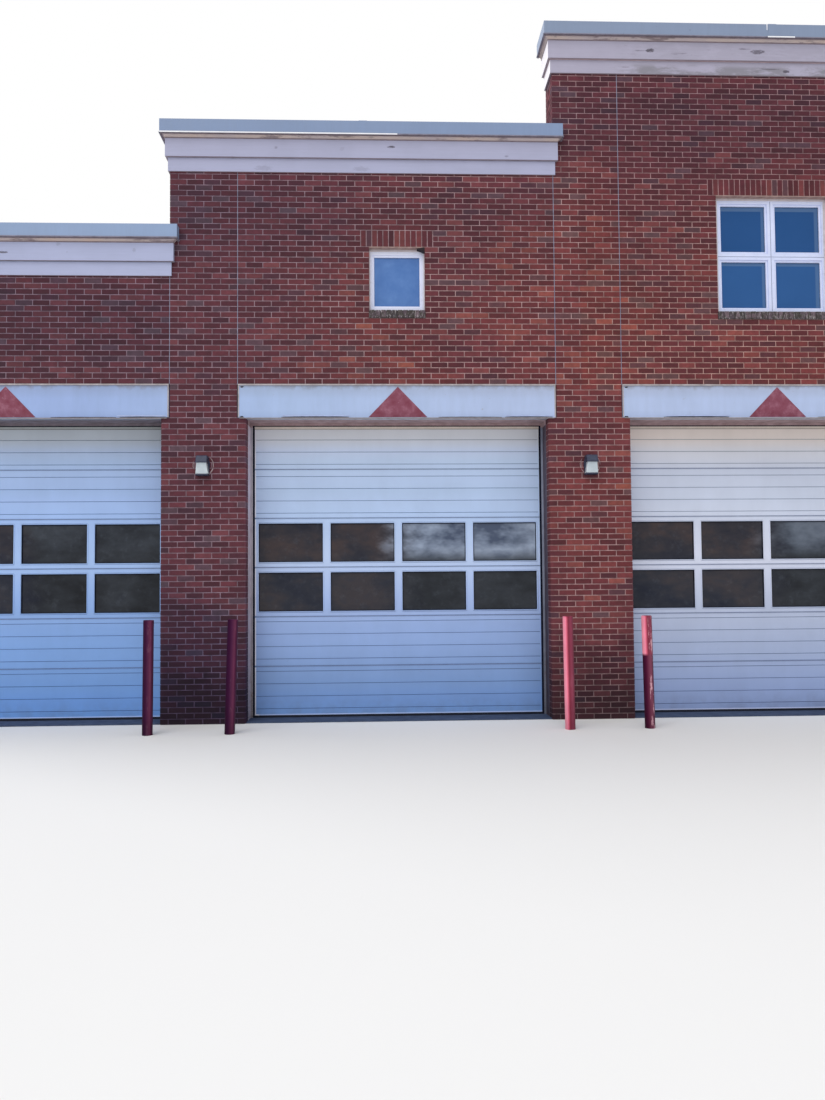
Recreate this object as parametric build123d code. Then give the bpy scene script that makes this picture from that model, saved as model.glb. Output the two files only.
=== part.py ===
"""Fire station: a brick hall of five door bays whose front wall rises in steps to the middle.

X runs along the front, Y into the building and Z up. The origin is on the ground, at the
middle of the brick walls' plan. Sizes are in millimetres.
"""
import os
from math import cos, radians, sin

from build123d import *

os.makedirs("parts", exist_ok=True)

# Brickwork: one brick with its joint, along the wall and up it
BRICK = 203.2
COURSE = 67.733
JOINT = 10.0
WALL = 360.0

# Bays along the front, in bricks
BAYS = 5
PIER_BRICKS = 4
DOORWAY_BRICKS = 18
SHOULDER_BRICKS = 0.5
DEPTH_BRICKS = 92

# Heights along the front, in courses
DOORWAY_COURSES = 54
LINTEL_COURSES = 6
LOW_COURSES = 79
STEP_COURSES = 19
CORNICE_DROP = 0.33

# Floor slab: what stands above the pavement
SLAB = 15.0

# Jambs and lintels
BULLNOSE = 25.0
LINTEL_PROUD = 6.0
TRIANGLE_WIDTH = 710.0
TRIANGLE_HEIGHT = 370.0
TRIANGLE_THICKNESS = 3.0
TRIANGLE_BASE_GAP = 4.0
SEALANT_DEPTH = 12.0
SEALANT_SET_BACK = 2.0

# Cornice, from the brick face out and from its foot up
FRIEZE_HEIGHT = 170.0
FRIEZE_PROUD = 25.0
FASCIA_HEIGHT = 222.0
FASCIA_PROUD = 55.0
COVE_HEIGHT = 42.0
COPING_HEIGHT = 166.0
COPING_PROUD = 110.0
COPING_METAL = 8.0
COPING_LIP = 8.0
COPING_LIP_HEIGHT = 12.0
COPING_BACK_LEG = 90.0
COVE_LIP = 12.0

# Sectional doors
SECTIONS = 6
SECTION_HEIGHT = 609.6
GLAZED_SECTIONS = (2, 3)
DOOR_THICKNESS = 50.0
DOOR_LAP = 25.0
SECTION_SEAM = 0.5
RIBS = 4
UPPER_RIB_FOOT = 64.0
LOWER_RIB_FOOT = 90.0
RIB_SPACING = 152.4
RIB_WIDTH = 8.0
RIB_DEPTH = 4.0
LITES = 4
LITE_WIDTH = 800.0
LITE_HEIGHT = 484.0
LITE_SPACING = 890.0
DOOR_PANE = 16.0
BOTTOM_SEAL = 16.0
BOTTOM_SEAL_THICKNESS = 34.0

# Steel lining and black weather seal of a doorway
LINER = 6.0
LINER_SET_BACK = 150.0
STOP_WIDTH = 26.0
STOP_THICKNESS = 6.0
SEAL_WIDTH = 24.0
SEAL_THICKNESS = 6.0
SEAL_GRIP = 6.0

# High windows, in courses above the ground and in soldier bricks of one course width
SILL_COURSE = 72
SMALL_HEAD_COURSE = 85
LARGE_HEAD_COURSE = 95
SMALL_WINDOW_MODULES = 10
LARGE_WINDOW_MODULES = 21
LARGE_WINDOW_LIGHTS = 2
SILL_FRONT_HEIGHT = 90.0
SILL_FALL = 13.0
SILL_PROUD = 12.0
SILL_DEPTH = 150.0
FRAME_SET_BACK = 65.0
FRAME_DEPTH = 70.0
FRAME_WIDTH = 62.0
GLAZING = 20.0
FRAME_STEP = 12.0
FRAME_STEP_WIDTH = 22.0
HEAD_FILLER = 40.0
LARGE_SIDE_FILLER = 26.0
FILLER_SET_BACK = 8.0

# Wall lamps
LAMP_HEIGHT = 3103.0
LAMP_WIDTH = 136.0
LAMP_CAP_HEIGHT = 84.0
LAMP_DEPTH = 130.0
LAMP_TAPER = 22.0
LENS_HEIGHT = 132.0
LENS_TOP_WIDTH = 114.0
LENS_BOTTOM_WIDTH = 146.0
LENS_BOTTOM_DEPTH = 92.0
LAMP_EDGE = 8.0

# Bollards
BOLLARD_DIAMETER = 114.3
BOLLARD_HEIGHT = 1266.0
BOLLARD_STAND_OFF = 640.0
BOLLARD_INSET = 55.0
BOLLARD_CAP_EDGE = 6.0
BOLLARD_SHIFTS = {(1, -1): -22.0, (1, 1): -15.0, (2, -1): 14.0, (2, 1): 25.0}
BOLLARD_LEANS = {(1, -1): 0.4, (1, 1): 1.6, (2, -1): -0.6, (2, 1): -0.9}

# Roof
RIDGE = 7050.0
ROOF_RISE = 1 / 6
ROOF_THICKNESS = 180.0
EAVE_OVERHANG = 200.0
RAKE_OVERHANG = 150.0
RIDGE_CAP_WIDTH = 320.0
RIDGE_CAP_THICKNESS = 12.0
BOARD = 22.0
BOARD_LAP = 40.0
GUTTER_WIDTH = 120.0
GUTTER_HEIGHT = 110.0
GUTTER_METAL = 4.0
DOWNSPOUT_WIDTH = 100.0
DOWNSPOUT_DEPTH = 75.0
DOWNSPOUT_CLEAR = 20.0
DOWNSPOUT_SHOE = 150.0
BRACKET_HEIGHTS = (700.0, 2340.0, 3980.0)

# What follows from the sizes above
PIER = PIER_BRICKS * BRICK
SHOULDER = SHOULDER_BRICKS * BRICK
DOORWAY = DOORWAY_BRICKS * BRICK
LINTEL = DOORWAY + 2 * SHOULDER
PITCH = LINTEL + PIER
HALF_WIDTH = (BAYS * PITCH + PIER) / 2
DEPTH = DEPTH_BRICKS * BRICK
FRONT = -DEPTH / 2
INSIDE = FRONT + WALL
BACK = DEPTH / 2
DOORWAY_TOP = DOORWAY_COURSES * COURSE
LINTEL_TOP = (DOORWAY_COURSES + LINTEL_COURSES) * COURSE
CORNICE_HEIGHT = FRIEZE_HEIGHT + FASCIA_HEIGHT + COVE_HEIGHT + COPING_HEIGHT
CLEAR_DOORWAY = DOORWAY + JOINT
OUTER_FACE = HALF_WIDTH - JOINT / 2
MIDDLE_BAY = BAYS // 2
DOOR_FOOT = SLAB + BOTTOM_SEAL
SILL_FOOT = SILL_COURSE * COURSE
FRAME_FOOT = SILL_FOOT + SILL_FRONT_HEIGHT + SILL_FALL
EAVE = OUTER_FACE + EAVE_OVERHANG
ROOF_BACK = BACK + RAKE_OVERHANG
DOWNSPOUT_LINES = (INSIDE + PITCH, BACK - WALL - PITCH)


def block(x0, x1, y0, y1, z0, z1):
    """A box between two corners."""
    return Pos((x0 + x1) / 2, (y0 + y1) / 2, (z0 + z1) / 2) * Box(x1 - x0, y1 - y0, z1 - z0)


def elevation(points, y0, y1):
    """A solid with a straight-sided outline seen from the front, from y0 back to y1."""
    face = make_face(Polyline([(x, y0, z) for x, z in points], close=True))
    return extrude(face, amount=y1 - y0, dir=(0, 1, 0))


def section(points, x0, x1):
    """A solid with a straight-sided outline seen from the side, from x0 to x1."""
    face = make_face(Polyline([(x0, y, z) for y, z in points], close=True))
    return extrude(face, amount=x1 - x0, dir=(1, 0, 0))


def bay_centre(bay):
    return (bay - (BAYS - 1) / 2) * PITCH


def pier_centre(pier):
    return (pier - BAYS / 2) * PITCH


def step_of_bay(bay):
    """How many steps above the lowest block a bay stands."""
    return MIDDLE_BAY - abs(bay - MIDDLE_BAY)


def step_of_pier(pier):
    """A pier between two blocks belongs to the taller one, so to the bay nearer the middle."""
    return max(step_of_bay(bay) for bay in (pier - 1, pier) if 0 <= bay < BAYS)


def cornice_foot(step):
    return (LOW_COURSES + step * STEP_COURSES + CORNICE_DROP) * COURSE


def masonry_top(step):
    return cornice_foot(step) + CORNICE_HEIGHT - COPING_METAL


def front_pier(pier):
    """A pier with rounded jamb edges and a shoulder at each doorway to carry the lintel."""
    centre = pier_centre(pier)
    left = centre - (PIER - JOINT) / 2
    right = centre + (PIER - JOINT) / 2
    foot_left = left - SHOULDER if pier > 0 else left
    foot_right = right + SHOULDER if pier < BAYS else right
    foot = block(foot_left, foot_right, FRONT, INSIDE, 0, DOORWAY_TOP)
    jambs = [x for x, edge in ((foot_left, pier > 0), (foot_right, pier < BAYS)) if edge]
    upright = foot.edges().filter_by(Axis.Z)
    rounded = [e for e in upright for x in jambs
               if abs(e.center().X - x) < JOINT and abs(e.center().Y - FRONT) < JOINT]
    foot = fillet(rounded, BULLNOSE)
    shaft = block(left, right, FRONT, INSIDE, DOORWAY_TOP, masonry_top(step_of_pier(pier)))
    return foot + shaft


def window_of_bay(bay):
    """Width and head height of a bay's window, or None in the lowest blocks."""
    if bay == MIDDLE_BAY:
        return LARGE_WINDOW_MODULES * COURSE + JOINT, LARGE_HEAD_COURSE * COURSE
    if step_of_bay(bay) > 0:
        return SMALL_WINDOW_MODULES * COURSE + JOINT, SMALL_HEAD_COURSE * COURSE
    return None


def wall_over_door(bay):
    """The brick panel on a lintel, between its two control joints, with its window cut through."""
    centre = bay_centre(bay)
    half = (LINTEL - JOINT) / 2
    wall = block(centre - half, centre + half, FRONT, INSIDE, LINTEL_TOP, masonry_top(step_of_bay(bay)))
    window = window_of_bay(bay)
    if window:
        width, head = window
        x0, x1 = centre - width / 2, centre + width / 2
        wall -= block(x0, x1, FRONT, INSIDE, FRAME_FOOT, head)
        wall -= block(x0, x1, FRONT, FRONT + SILL_DEPTH, SILL_FOOT, FRAME_FOOT)
    return wall


def roof_top(x):
    """Height of the roof's upper face at a distance x from the ridge."""
    return RIDGE - abs(x) * ROOF_RISE


def roof_under(x):
    return roof_top(x) - ROOF_THICKNESS


def side_wall(side):
    outer, inner = side * OUTER_FACE, side * (OUTER_FACE - WALL)
    outline = [(inner, 0), (outer, 0), (outer, roof_under(outer)), (inner, roof_under(inner))]
    return elevation(outline, INSIDE, BACK - WALL)


def back_wall():
    outline = [(-OUTER_FACE, 0), (OUTER_FACE, 0), (OUTER_FACE, roof_under(OUTER_FACE)),
               (0, roof_under(0)), (-OUTER_FACE, roof_under(OUTER_FACE))]
    return elevation(outline, BACK - WALL, BACK)


def floor_slab():
    inner = OUTER_FACE - WALL
    slab = block(-inner, inner, INSIDE, BACK - WALL, 0, SLAB)
    for bay in range(BAYS):
        x = bay_centre(bay)
        slab += block(x - CLEAR_DOORWAY / 2, x + CLEAR_DOORWAY / 2, FRONT + BULLNOSE, INSIDE, 0, SLAB)
    return slab


def door_lintel(bay):
    x = bay_centre(bay)
    half = (LINTEL - JOINT) / 2
    return block(x - half, x + half, FRONT - LINTEL_PROUD, INSIDE, DOORWAY_TOP, LINTEL_TOP)


def lintel_triangle(bay):
    x = bay_centre(bay)
    base = DOORWAY_TOP + TRIANGLE_BASE_GAP
    face = FRONT - LINTEL_PROUD
    outline = [(x - TRIANGLE_WIDTH / 2, base), (x + TRIANGLE_WIDTH / 2, base), (x, base + TRIANGLE_HEIGHT)]
    return elevation(outline, face - TRIANGLE_THICKNESS, face)


def sealant_strips(bay):
    """The two soft joints beside a wall panel, from the lintel up to the cornice."""
    x = bay_centre(bay)
    y0 = FRONT + SEALANT_SET_BACK
    for line in (x - LINTEL / 2, x + LINTEL / 2):
        yield block(line - JOINT / 2, line + JOINT / 2, y0, y0 + SEALANT_DEPTH,
                    LINTEL_TOP, cornice_foot(step_of_bay(bay)))


def cornice_runs():
    """Each block's free ends: x of both ends, whether each is free, and its step."""
    for step in range(MIDDLE_BAY):
        near, far = (MIDDLE_BAY - step - 0.5) * PITCH, (MIDDLE_BAY - step + 0.5) * PITCH
        inner, outer = near + PIER / 2, far + PIER / 2 - JOINT / 2
        yield -outer, -inner, True, False, step
        yield inner, outer, False, True, step
    half = PITCH / 2 + PIER / 2 - JOINT / 2
    yield -half, half, True, True, MIDDLE_BAY


def swept_round(face, run):
    """A moulding round a block's front and ends, mitred at the corners.

    Where the next block is taller, the moulding ends on that block's face with the corner's
    own mitre.
    """
    x0, x1, free0, free1, _ = run
    path = Polyline((x0, INSIDE, 0), (x0, FRONT, 0), (x1, FRONT, 0), (x1, INSIDE, 0))
    moulding = sweep(face, path=path, transition=Transition.RIGHT)
    reach = x0 - moulding.bounding_box().min.X
    low, high = moulding.bounding_box().min.Z, moulding.bounding_box().max.Z
    if not free0:
        moulding -= block(x0 - reach, x0, FRONT, INSIDE, low, high)
    if not free1:
        moulding -= block(x1, x1 + reach, FRONT, INSIDE, low, high)
    return moulding


def wrapped(profile, run):
    """A moulding whose profile gives distances out of the brick face and heights."""
    start = make_face(Polyline([(run[0] - out, INSIDE, z) for out, z in profile], close=True))
    return swept_round(start, run)


def frieze(run):
    z = cornice_foot(run[4])
    profile = [(0, z), (FRIEZE_PROUD, z), (FRIEZE_PROUD, z + FRIEZE_HEIGHT), (0, z + FRIEZE_HEIGHT)]
    return wrapped(profile, run)


def fascia(run):
    z = cornice_foot(run[4]) + FRIEZE_HEIGHT
    profile = [(0, z), (FASCIA_PROUD, z), (FASCIA_PROUD, z + FASCIA_HEIGHT), (0, z + FASCIA_HEIGHT)]
    return wrapped(profile, run)


def crown(run):
    """The cove under the coping, with the timber behind the coping's face."""
    z = cornice_foot(run[4]) + FRIEZE_HEIGHT + FASCIA_HEIGHT
    top = z + COVE_HEIGHT
    out = COPING_PROUD - COPING_METAL

    def at(distance, height):
        return (run[0] - distance, INSIDE, height)

    foot = at(FASCIA_PROUD, z)
    lip = at(out - COVE_LIP, top)
    middle = at(FASCIA_PROUD + (out - COVE_LIP - FASCIA_PROUD) * (1 - cos(radians(45))),
                z + COVE_HEIGHT * sin(radians(45)))
    outline = (Polyline(at(0, top + COPING_HEIGHT - COPING_METAL), at(0, z), foot)
               + ThreePointArc(foot, middle, lip)
               + Polyline(lip, at(out, top), at(out, top + COPING_HEIGHT - COPING_METAL),
                          at(0, top + COPING_HEIGHT - COPING_METAL)))
    return swept_round(make_face(outline), run)


def coping(run):
    """Sheet metal over the wall's top, with a deep face, a drip lip and a back leg."""
    x0, x1, free0, free1, step = run
    top = cornice_foot(step) + CORNICE_HEIGHT
    foot = top - COPING_HEIGHT
    inner = COPING_PROUD - COPING_METAL
    profile = [(inner, foot), (COPING_PROUD + COPING_LIP, foot),
               (COPING_PROUD + COPING_LIP, foot + COPING_LIP_HEIGHT / 2),
               (COPING_PROUD, foot + COPING_LIP_HEIGHT), (COPING_PROUD, top), (inner, top)]
    metal = wrapped(profile, run)
    end0 = x0 - COPING_PROUD if free0 else x0 + JOINT / 2
    end1 = x1 + COPING_PROUD if free1 else x1 - JOINT / 2
    metal += block(end0, end1, FRONT, INSIDE + COPING_METAL, top - COPING_METAL, top)
    metal += block(x0 - COPING_PROUD, x1 + COPING_PROUD, FRONT - COPING_PROUD, FRONT,
                   top - COPING_METAL, top)
    metal += block(end0, end1, INSIDE, INSIDE + COPING_METAL, top - COPING_BACK_LEG, top)
    return metal


def doorway_ring(x, outer, inner, y0, y1):
    """A frame round a doorway's sides and head, between two distances in from its edge."""
    half = CLEAR_DOORWAY / 2
    ring = block(x - half + outer, x + half - outer, y0, y1, SLAB, DOORWAY_TOP - outer)
    return ring - block(x - half + inner, x + half - inner, y0, y1, SLAB, DOORWAY_TOP - inner)


def door_frame(bay):
    """Steel lining of the doorway's sides and head, with a stop in front of the door."""
    x = bay_centre(bay)
    stop_back = INSIDE - SEAL_THICKNESS
    lining = doorway_ring(x, 0, LINER, FRONT + LINER_SET_BACK, stop_back)
    return lining + doorway_ring(x, 0, LINER + STOP_WIDTH, stop_back - STOP_THICKNESS, stop_back)


def door_seals(bay):
    x = bay_centre(bay)
    edge = LINER + STOP_WIDTH
    yield doorway_ring(x, edge - SEAL_GRIP, edge + SEAL_WIDTH, INSIDE - SEAL_THICKNESS, INSIDE)
    half = CLEAR_DOORWAY / 2 + DOOR_LAP
    middle = INSIDE + DOOR_THICKNESS / 2
    yield block(x - half, x + half, middle - BOTTOM_SEAL_THICKNESS / 2,
                middle + BOTTOM_SEAL_THICKNESS / 2, SLAB, DOOR_FOOT)


def section_foot(number):
    """Sections count from the top."""
    return DOOR_FOOT + (SECTIONS - 1 - number) * SECTION_HEIGHT


def lite_centres(bay):
    return [bay_centre(bay) + (n - (LITES - 1) / 2) * LITE_SPACING for n in range(LITES)]


def door_section(bay, number):
    """One section: ribbed sheet, or rails and stiles round four lites."""
    x = bay_centre(bay)
    half = CLEAR_DOORWAY / 2 + DOOR_LAP
    z = section_foot(number)
    face, back = INSIDE, INSIDE + DOOR_THICKNESS
    top = z + SECTION_HEIGHT - SECTION_SEAM
    if number in GLAZED_SECTIONS:
        leaf = block(x - half, x + half, face, back, z, top)
        for lite in lite_centres(bay):
            opening = Box(LITE_WIDTH, DOOR_THICKNESS, LITE_HEIGHT)
            leaf -= Pos(lite, (face + back) / 2, (z + top) / 2) * opening
        return leaf
    first_rib = z + (UPPER_RIB_FOOT if number < min(GLAZED_SECTIONS) else LOWER_RIB_FOOT)
    outline = [(back, z), (back, top), (face, top)]
    for n in reversed(range(RIBS)):
        middle = first_rib + n * RIB_SPACING
        outline += [(face, middle + RIB_WIDTH / 2), (face + RIB_DEPTH, middle),
                    (face, middle - RIB_WIDTH / 2)]
    outline.append((face, z))
    return section(outline, x - half, x + half)


def door_panes(bay):
    middle = INSIDE + DOOR_THICKNESS / 2
    for number in GLAZED_SECTIONS:
        z = section_foot(number) + (SECTION_HEIGHT - SECTION_SEAM) / 2
        for lite in lite_centres(bay):
            yield Pos(lite, middle, z) * Box(LITE_WIDTH, DOOR_PANE, LITE_HEIGHT)


def window_sill(bay):
    """Sloping sill of bricks on edge, on the wall below and under the frame."""
    x = bay_centre(bay)
    width = window_of_bay(bay)[0]
    outline = [(FRONT - SILL_PROUD, SILL_FOOT), (FRONT - SILL_PROUD, SILL_FOOT + SILL_FRONT_HEIGHT),
               (FRONT + FRAME_SET_BACK, FRAME_FOOT), (FRONT + SILL_DEPTH, FRAME_FOOT),
               (FRONT + SILL_DEPTH, SILL_FOOT)]
    return section(outline, x - width / 2, x + width / 2)


def frame_size(bay):
    """Width and head height of a window's frame inside its filler strips."""
    width, head = window_of_bay(bay)
    side = LARGE_SIDE_FILLER if bay == MIDDLE_BAY else 0
    return width - 2 * side, head - HEAD_FILLER


def window_lights(bay):
    """Centre, width and height of each light: a small window has one, the large one has rows of them."""
    width, head = frame_size(bay)
    count = LARGE_WINDOW_LIGHTS if bay == MIDDLE_BAY else 1
    wide, high = width / count, (head - FRAME_FOOT) / count
    for column in range(count):
        for row in range(count):
            yield (bay_centre(bay) + (column - (count - 1) / 2) * wide, FRAME_FOOT + (row + 0.5) * high,
                   wide - 2 * FRAME_WIDTH, high - 2 * FRAME_WIDTH)


def window_frame(bay):
    """White frame with a stepped edge round every light, and filler strips out to the brick."""
    x = bay_centre(bay)
    opening, top = window_of_bay(bay)
    width, head = frame_size(bay)
    y0, y1 = FRONT + FRAME_SET_BACK, FRONT + FRAME_SET_BACK + FRAME_DEPTH
    frame = block(x - width / 2, x + width / 2, y0, y1, FRAME_FOOT, head)
    frame += block(x - opening / 2, x + opening / 2, y0 + FILLER_SET_BACK, y1, FRAME_FOOT, top)
    for lx, lz, wide, high in window_lights(bay):
        frame -= Pos(lx, y0 + FRAME_DEPTH / 2, lz) * Box(wide, FRAME_DEPTH, high)
        step_box = Box(wide + 2 * FRAME_STEP_WIDTH, FRAME_STEP, high + 2 * FRAME_STEP_WIDTH)
        frame -= Pos(lx, y0 + FRAME_STEP / 2, lz) * step_box
    return frame


def window_panes(bay):
    middle = FRONT + FRAME_SET_BACK + FRAME_STEP + (FRAME_DEPTH - FRAME_STEP) / 2
    for lx, lz, wide, high in window_lights(bay):
        yield Pos(lx, middle, lz) * Box(wide, GLAZING, high)


def lamp_housing(pier):
    """Cast cap with bevelled edges, deeper at its foot."""
    x = pier_centre(pier)
    top = LAMP_HEIGHT + LAMP_CAP_HEIGHT
    outline = [(FRONT, LAMP_HEIGHT), (FRONT, top), (FRONT - LAMP_DEPTH + LAMP_TAPER, top),
               (FRONT - LAMP_DEPTH, LAMP_HEIGHT)]
    cap = section(outline, x - LAMP_WIDTH / 2, x + LAMP_WIDTH / 2)
    exposed = [edge for edge in cap.edges()
               if edge.center().Y < FRONT - LAMP_EDGE and edge.center().Z > LAMP_HEIGHT + LAMP_EDGE]
    return chamfer(exposed, LAMP_EDGE)


def lamp_lens(pier):
    """Ribbed lens under the cap, wider and shallower at its foot."""
    x = pier_centre(pier)
    foot = LAMP_HEIGHT - LENS_HEIGHT
    top_depth = LAMP_DEPTH - LAMP_EDGE
    upper = Pos(x, FRONT - top_depth / 2, LAMP_HEIGHT) * Rectangle(LENS_TOP_WIDTH, top_depth)
    lower = Pos(x, FRONT - LENS_BOTTOM_DEPTH / 2, foot) * Rectangle(LENS_BOTTOM_WIDTH, LENS_BOTTOM_DEPTH)
    return loft([lower.face(), upper.face()])


def bollard(pier, side):
    """Filled steel post on the pavement, at one edge of a pier."""
    x = pier_centre(pier) + side * ((PIER - JOINT) / 2 + SHOULDER - BOLLARD_INSET)
    x += BOLLARD_SHIFTS.get((pier, side), 0)
    post = Pos(0, 0, BOLLARD_HEIGHT / 2) * Cylinder(BOLLARD_DIAMETER / 2, BOLLARD_HEIGHT)
    post = chamfer(post.edges().sort_by(Axis.Z)[-1], BOLLARD_CAP_EDGE)
    lean = BOLLARD_LEANS.get((pier, side), 0)
    post = Pos(x, FRONT - BOLLARD_STAND_OFF, 0) * Rot(0, lean, 0) * post
    reach = BOLLARD_DIAMETER
    return post - block(x - reach, x + reach, FRONT - BOLLARD_STAND_OFF - reach,
                        FRONT - BOLLARD_STAND_OFF + reach, -reach, 0) if lean else post


def roof_slope(side):
    outline = [(0, roof_under(0)), (0, roof_top(0)), (side * EAVE, roof_top(EAVE)),
               (side * EAVE, roof_under(EAVE))]
    return elevation(outline, INSIDE, ROOF_BACK)


def ridge_cap():
    half = RIDGE_CAP_WIDTH / 2
    outline = [(0, roof_top(0)), (half, roof_top(half)), (half, roof_top(half) + RIDGE_CAP_THICKNESS),
               (0, roof_top(0) + RIDGE_CAP_THICKNESS), (-half, roof_top(half) + RIDGE_CAP_THICKNESS),
               (-half, roof_top(half))]
    return elevation(outline, INSIDE, ROOF_BACK)


def eave_fascia(side):
    x0, x1 = sorted((side * EAVE, side * (EAVE + BOARD)))
    return block(x0, x1, INSIDE, ROOF_BACK, roof_under(EAVE) - BOARD_LAP, roof_top(EAVE))


def rake_board(side):
    """Board on the roof's back edge, from the ridge down to the eave."""
    end = EAVE + BOARD
    drop = ROOF_THICKNESS + BOARD_LAP
    outline = [(0, roof_top(0)), (side * end, roof_top(end)), (side * end, roof_top(end) - drop),
               (0, roof_top(0) - drop)]
    return elevation(outline, ROOF_BACK, ROOF_BACK + BOARD)


def gutter(side):
    """Open trough on the eave's board, with closed ends."""
    inner = EAVE + BOARD
    top = roof_top(EAVE) - BOARD_LAP
    x0, x1 = sorted((side * inner, side * (inner + GUTTER_WIDTH)))
    trough = block(x0, x1, INSIDE, ROOF_BACK, top - GUTTER_HEIGHT, top)
    return trough - block(x0 + GUTTER_METAL, x1 - GUTTER_METAL, INSIDE + GUTTER_METAL,
                          ROOF_BACK - GUTTER_METAL, top - GUTTER_HEIGHT + GUTTER_METAL, top)


def downspout(side, y):
    """Rectangular pipe from the gutter's floor back to the wall and down to a shoe."""
    outlet = EAVE + BOARD + GUTTER_WIDTH / 2
    wall_line = OUTER_FACE + DOWNSPOUT_CLEAR / 2 + DOWNSPOUT_DEPTH / 2
    gutter_foot = roof_top(EAVE) - BOARD_LAP - GUTTER_HEIGHT
    drop = outlet - wall_line
    points = [(outlet, gutter_foot), (outlet, gutter_foot - DOWNSPOUT_DEPTH),
              (wall_line, gutter_foot - DOWNSPOUT_DEPTH - drop), (wall_line, 2 * DOWNSPOUT_SHOE),
              (wall_line + DOWNSPOUT_SHOE, DOWNSPOUT_SHOE)]
    path = Polyline([(side * px, y, pz) for px, pz in points])
    start = Plane((side * outlet, y, gutter_foot), x_dir=(1, 0, 0), z_dir=(0, 0, -1))
    pipe = start * Rectangle(DOWNSPOUT_DEPTH, DOWNSPOUT_WIDTH)
    return sweep(pipe, path=path, transition=Transition.RIGHT)


def downspout_bracket(side, y, z):
    """Strap block that holds a downspout off the wall."""
    x0, x1 = sorted((side * OUTER_FACE, side * (OUTER_FACE + DOWNSPOUT_CLEAR / 2)))
    return block(x0, x1, y - DOWNSPOUT_WIDTH / 2, y + DOWNSPOUT_WIDTH / 2, z - BOARD, z + BOARD)


def save(name, solids):
    """Write one sub-part from one solid or several that lie apart."""
    solids = list(solids)
    shape = solids[0] if len(solids) == 1 else Compound(children=[Compound(s.solids()) for s in solids])
    export_step(shape, f"parts/{name}.step")


SIDES = {"left": -1, "right": 1}
BAY_LIST = range(BAYS)
PIER_LIST = range(BAYS + 1)
WINDOW_BAYS = [bay for bay in BAY_LIST if window_of_bay(bay)]
RUNS = list(cornice_runs())

for pier in PIER_LIST:
    save(f"front_pier_{pier + 1}", [front_pier(pier)])
for bay in BAY_LIST:
    save(f"wall_over_door_{bay + 1}", [wall_over_door(bay)])
    save(f"door_{bay + 1}", [door_section(bay, number) for number in range(SECTIONS)])
for name, side in SIDES.items():
    save(f"side_wall_{name}", [side_wall(side)])
    save(f"roof_{name}", [roof_slope(side)])
save("back_wall", [back_wall()])
save("floor_slab", [floor_slab()])
save("door_lintels", [door_lintel(bay) for bay in BAY_LIST])
save("lintel_triangles", [lintel_triangle(bay) for bay in BAY_LIST])
save("control_joint_sealant", [strip for bay in BAY_LIST for strip in sealant_strips(bay)])
save("cornice_frieze", [frieze(run) for run in RUNS])
save("cornice_fascia", [fascia(run) for run in RUNS])
save("cornice_crown", [crown(run) for run in RUNS])
save("metal_coping", [coping(run) for run in RUNS])
save("door_frames", [door_frame(bay) for bay in BAY_LIST])
save("door_seals", [seal for bay in BAY_LIST for seal in door_seals(bay)])
save("door_glass", [pane for bay in BAY_LIST for pane in door_panes(bay)])
save("window_sills", [window_sill(bay) for bay in WINDOW_BAYS])
save("window_frames", [window_frame(bay) for bay in WINDOW_BAYS])
save("window_glass", [pane for bay in WINDOW_BAYS for pane in window_panes(bay)])
save("lamp_housings", [lamp_housing(pier) for pier in PIER_LIST])
save("lamp_lenses", [lamp_lens(pier) for pier in PIER_LIST])
save("bollards", [bollard(pier, side) for pier in PIER_LIST for side in (-1, 1)
                  if not (pier == 0 and side < 0) and not (pier == BAYS and side > 0)])
save("ridge_cap", [ridge_cap()])
save("eave_fascias", [eave_fascia(side) for side in SIDES.values()])
save("rake_boards", [rake_board(side) for side in SIDES.values()])
save("gutters", [gutter(side) for side in SIDES.values()])
save("downspouts", [downspout(side, y) for side in SIDES.values() for y in DOWNSPOUT_LINES])
save("downspout_brackets", [downspout_bracket(side, y, z) for side in SIDES.values()
                            for y in DOWNSPOUT_LINES for z in BRACKET_HEIGHTS])
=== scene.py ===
"""Looks of the fire station: its bricks, small trim and finishes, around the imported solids.

X runs along the front, Y into the building and Z up. Sizes are in metres, and colours are
written as sRGB values from 0 to 255.
"""

import random
from math import ceil, cos, floor, pi, radians, sin

import bmesh
import bpy
from mathutils import Matrix, Vector


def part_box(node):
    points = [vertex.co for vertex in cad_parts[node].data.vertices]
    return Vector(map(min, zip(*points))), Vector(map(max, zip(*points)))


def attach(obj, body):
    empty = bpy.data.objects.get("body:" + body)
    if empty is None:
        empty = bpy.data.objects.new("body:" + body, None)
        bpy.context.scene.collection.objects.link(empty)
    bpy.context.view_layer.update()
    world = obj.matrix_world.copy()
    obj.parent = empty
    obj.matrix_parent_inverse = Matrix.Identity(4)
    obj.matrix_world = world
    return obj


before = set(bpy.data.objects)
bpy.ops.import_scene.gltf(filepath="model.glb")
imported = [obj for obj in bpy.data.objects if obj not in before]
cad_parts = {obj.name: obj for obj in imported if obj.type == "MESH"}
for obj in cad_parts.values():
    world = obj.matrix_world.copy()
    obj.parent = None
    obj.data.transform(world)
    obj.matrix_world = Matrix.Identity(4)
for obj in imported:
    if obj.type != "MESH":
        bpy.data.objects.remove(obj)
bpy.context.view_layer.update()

# Brickwork, as in the solids: one brick with its joint along the wall, and up it
BRICK = 0.2032
HALF_BRICK = BRICK / 2
COURSE = 0.067733
JOINT = 0.010
SLIVER = 0.04
BRICK_PROUD = 0.0045
BRICK_SETTING = 0.0006
BRICK_CHAMFER = 0.0025
EMBED = 0.002
SIDE_BRICKS = 92

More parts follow.
